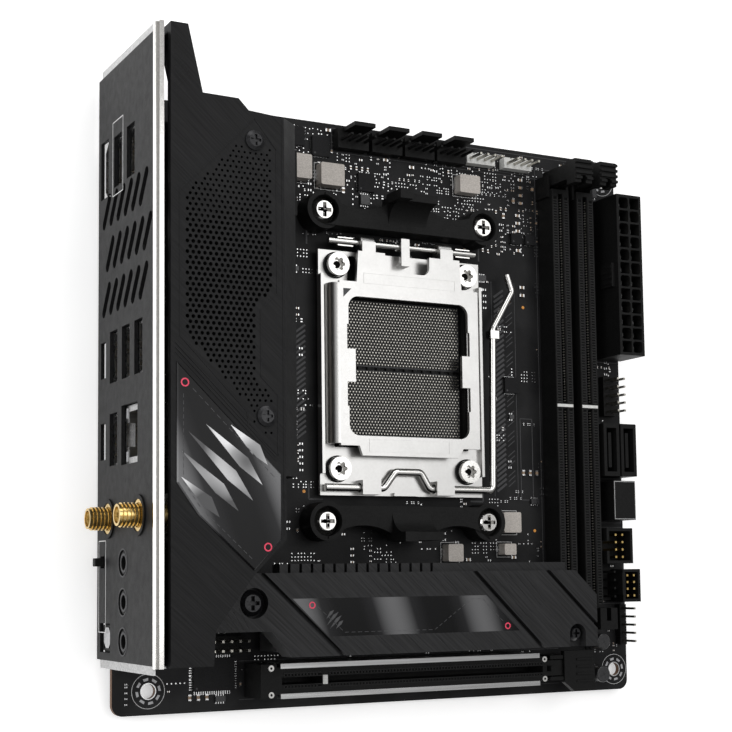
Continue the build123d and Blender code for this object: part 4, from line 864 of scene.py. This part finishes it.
def add_underside_ink():
    form = Form()
    low, high = UNDERSIDE - INK, UNDERSIDE
    form.outline(rectangle((50.0, 126.0), (40.0, 154.4)), 0.2, low, high, 0)
    form.outline(rectangle((1.2, 19.0), (18.0, 166.0)), 0.15, low, high, 0)
    form.outline(rectangle((38.0, 136.0), (3.6, 12.8)), 0.15, low, high, 0)
    for x in DIMM_CENTRES:
        form.outline(rectangle((x - 4.2, x + 4.2), (18.0, 160.0)), 0.15, low, high, 0)
    for index in range(20):
        form.line((22.0 + index * 1.2, 60.0), (26.0 + index * 1.2, 64.0), 0.4, low, high, 1)
    piece("underside_ink", form, [SILK, GREY_INK])


# ------------------------------------------------------------------ camera, light and floor
CAMERA_PLACE = (-127.13, 36.19, 387.96)
CAMERA_RIGHT = Vector((0.88512, -0.01204, 0.46521))
CAMERA_DOWN = Vector((0.03190, -0.99574, -0.08648))
CAMERA_AHEAD = Vector((0.46427, 0.09139, -0.88097))


def make_camera():
    data = bpy.data.cameras.new("camera")
    data.lens = 73.65
    data.sensor_width = 36.0
    data.shift_y = 0.101
    camera = bpy.data.objects.new("camera", data)
    scene.collection.objects.link(camera)
    axes = Matrix((CAMERA_RIGHT, -CAMERA_DOWN, -CAMERA_AHEAD)).transposed()
    camera.matrix_world = Matrix.Translation(at(*CAMERA_PLACE)) @ axes.to_4x4()
    scene.camera = camera


def area_light(name, shift, size, power):
    """A soft card that looks at the middle of the board from a shift given in metres."""
    data = bpy.data.lights.new(name, "AREA")
    data.shape = "RECTANGLE"
    data.size, data.size_y = size
    data.energy = power
    lamp = bpy.data.objects.new(name, data)
    scene.collection.objects.link(lamp)
    lamp.location = at(85, 88) + Vector(shift)
    lamp.rotation_euler = (-Vector(shift)).to_track_quat("-Z", "Y").to_euler()


def make_studio():
    world = bpy.data.worlds.new("studio")
    scene.world = world
    world.use_nodes = True
    tree = world.node_tree
    place = tree.nodes.new("ShaderNodeTexCoord")
    split = tree.nodes.new("ShaderNodeSeparateXYZ")
    tree.links.new(place.outputs["Generated"], split.inputs["Vector"])
    height = tree.nodes.new("ShaderNodeMapRange")
    height.inputs["From Min"].default_value = -1.0
    tree.links.new(split.outputs["Z"], height.inputs["Value"])
    levels = ((0.48, 0.7), (0.55, 0.16), (0.78, 0.30), (1.0, 0.72))
    tones = [(level, (tone, tone, tone)) for level, tone in levels]
    tree.links.new(ramp(tree, height.outputs["Result"], tones), tree.nodes["Background"].inputs["Color"])
    area_light("key_card", (0.19, 0.10, 0.70), (0.34, 0.6), 1.1)
    area_light("left_card", (-0.75, 0.10, 0.30), (0.5, 0.7), 3.4)
    area_light("top_card", (0.05, 0.80, 0.60), (0.9, 0.4), 3.0)
    half, low = 6.0, cad_box[0][2]
    mesh = bpy.data.meshes.new("floor")
    mesh.from_pydata([(-half, -half, low), (half, -half, low), (half, half, low), (-half, half, low)],
                     [], [(0, 1, 2, 3)])
    floor = bpy.data.objects.new("floor", mesh)
    scene.collection.objects.link(floor)
    paint = grained("floor_paint", (0.93, 0.93, 0.93), (0.96, 0.96, 0.96), 0.9, scale=40, depth=0.0,
                    specular=0.0)
    lit = paint.node_tree.nodes["Principled BSDF"].inputs
    lit["Emission Color"].default_value = (1.0, 1.0, 1.0, 1.0)
    lit["Emission Strength"].default_value = 0.4
    mesh.materials.append(paint)
    scene.view_settings.view_transform = "Standard"


dress_cad_nodes()
bpy.context.view_layer.update()
add_small_parts("small_parts_top", 1, 1400, 11)
add_small_parts("small_parts_underside", -1, 500, 23)
add_hole_pads()
add_ink()
add_chip_feet()
add_can_tops()
add_contacts()
add_socket_details()
add_screw_collars()
add_memory_details()
add_card_slot_details()
add_cover_details()
add_badge_prints()
add_heatsink_lines()
add_port_details()
add_connector_details()
add_solder_joints()
add_underside_ink()
make_camera()
make_studio()
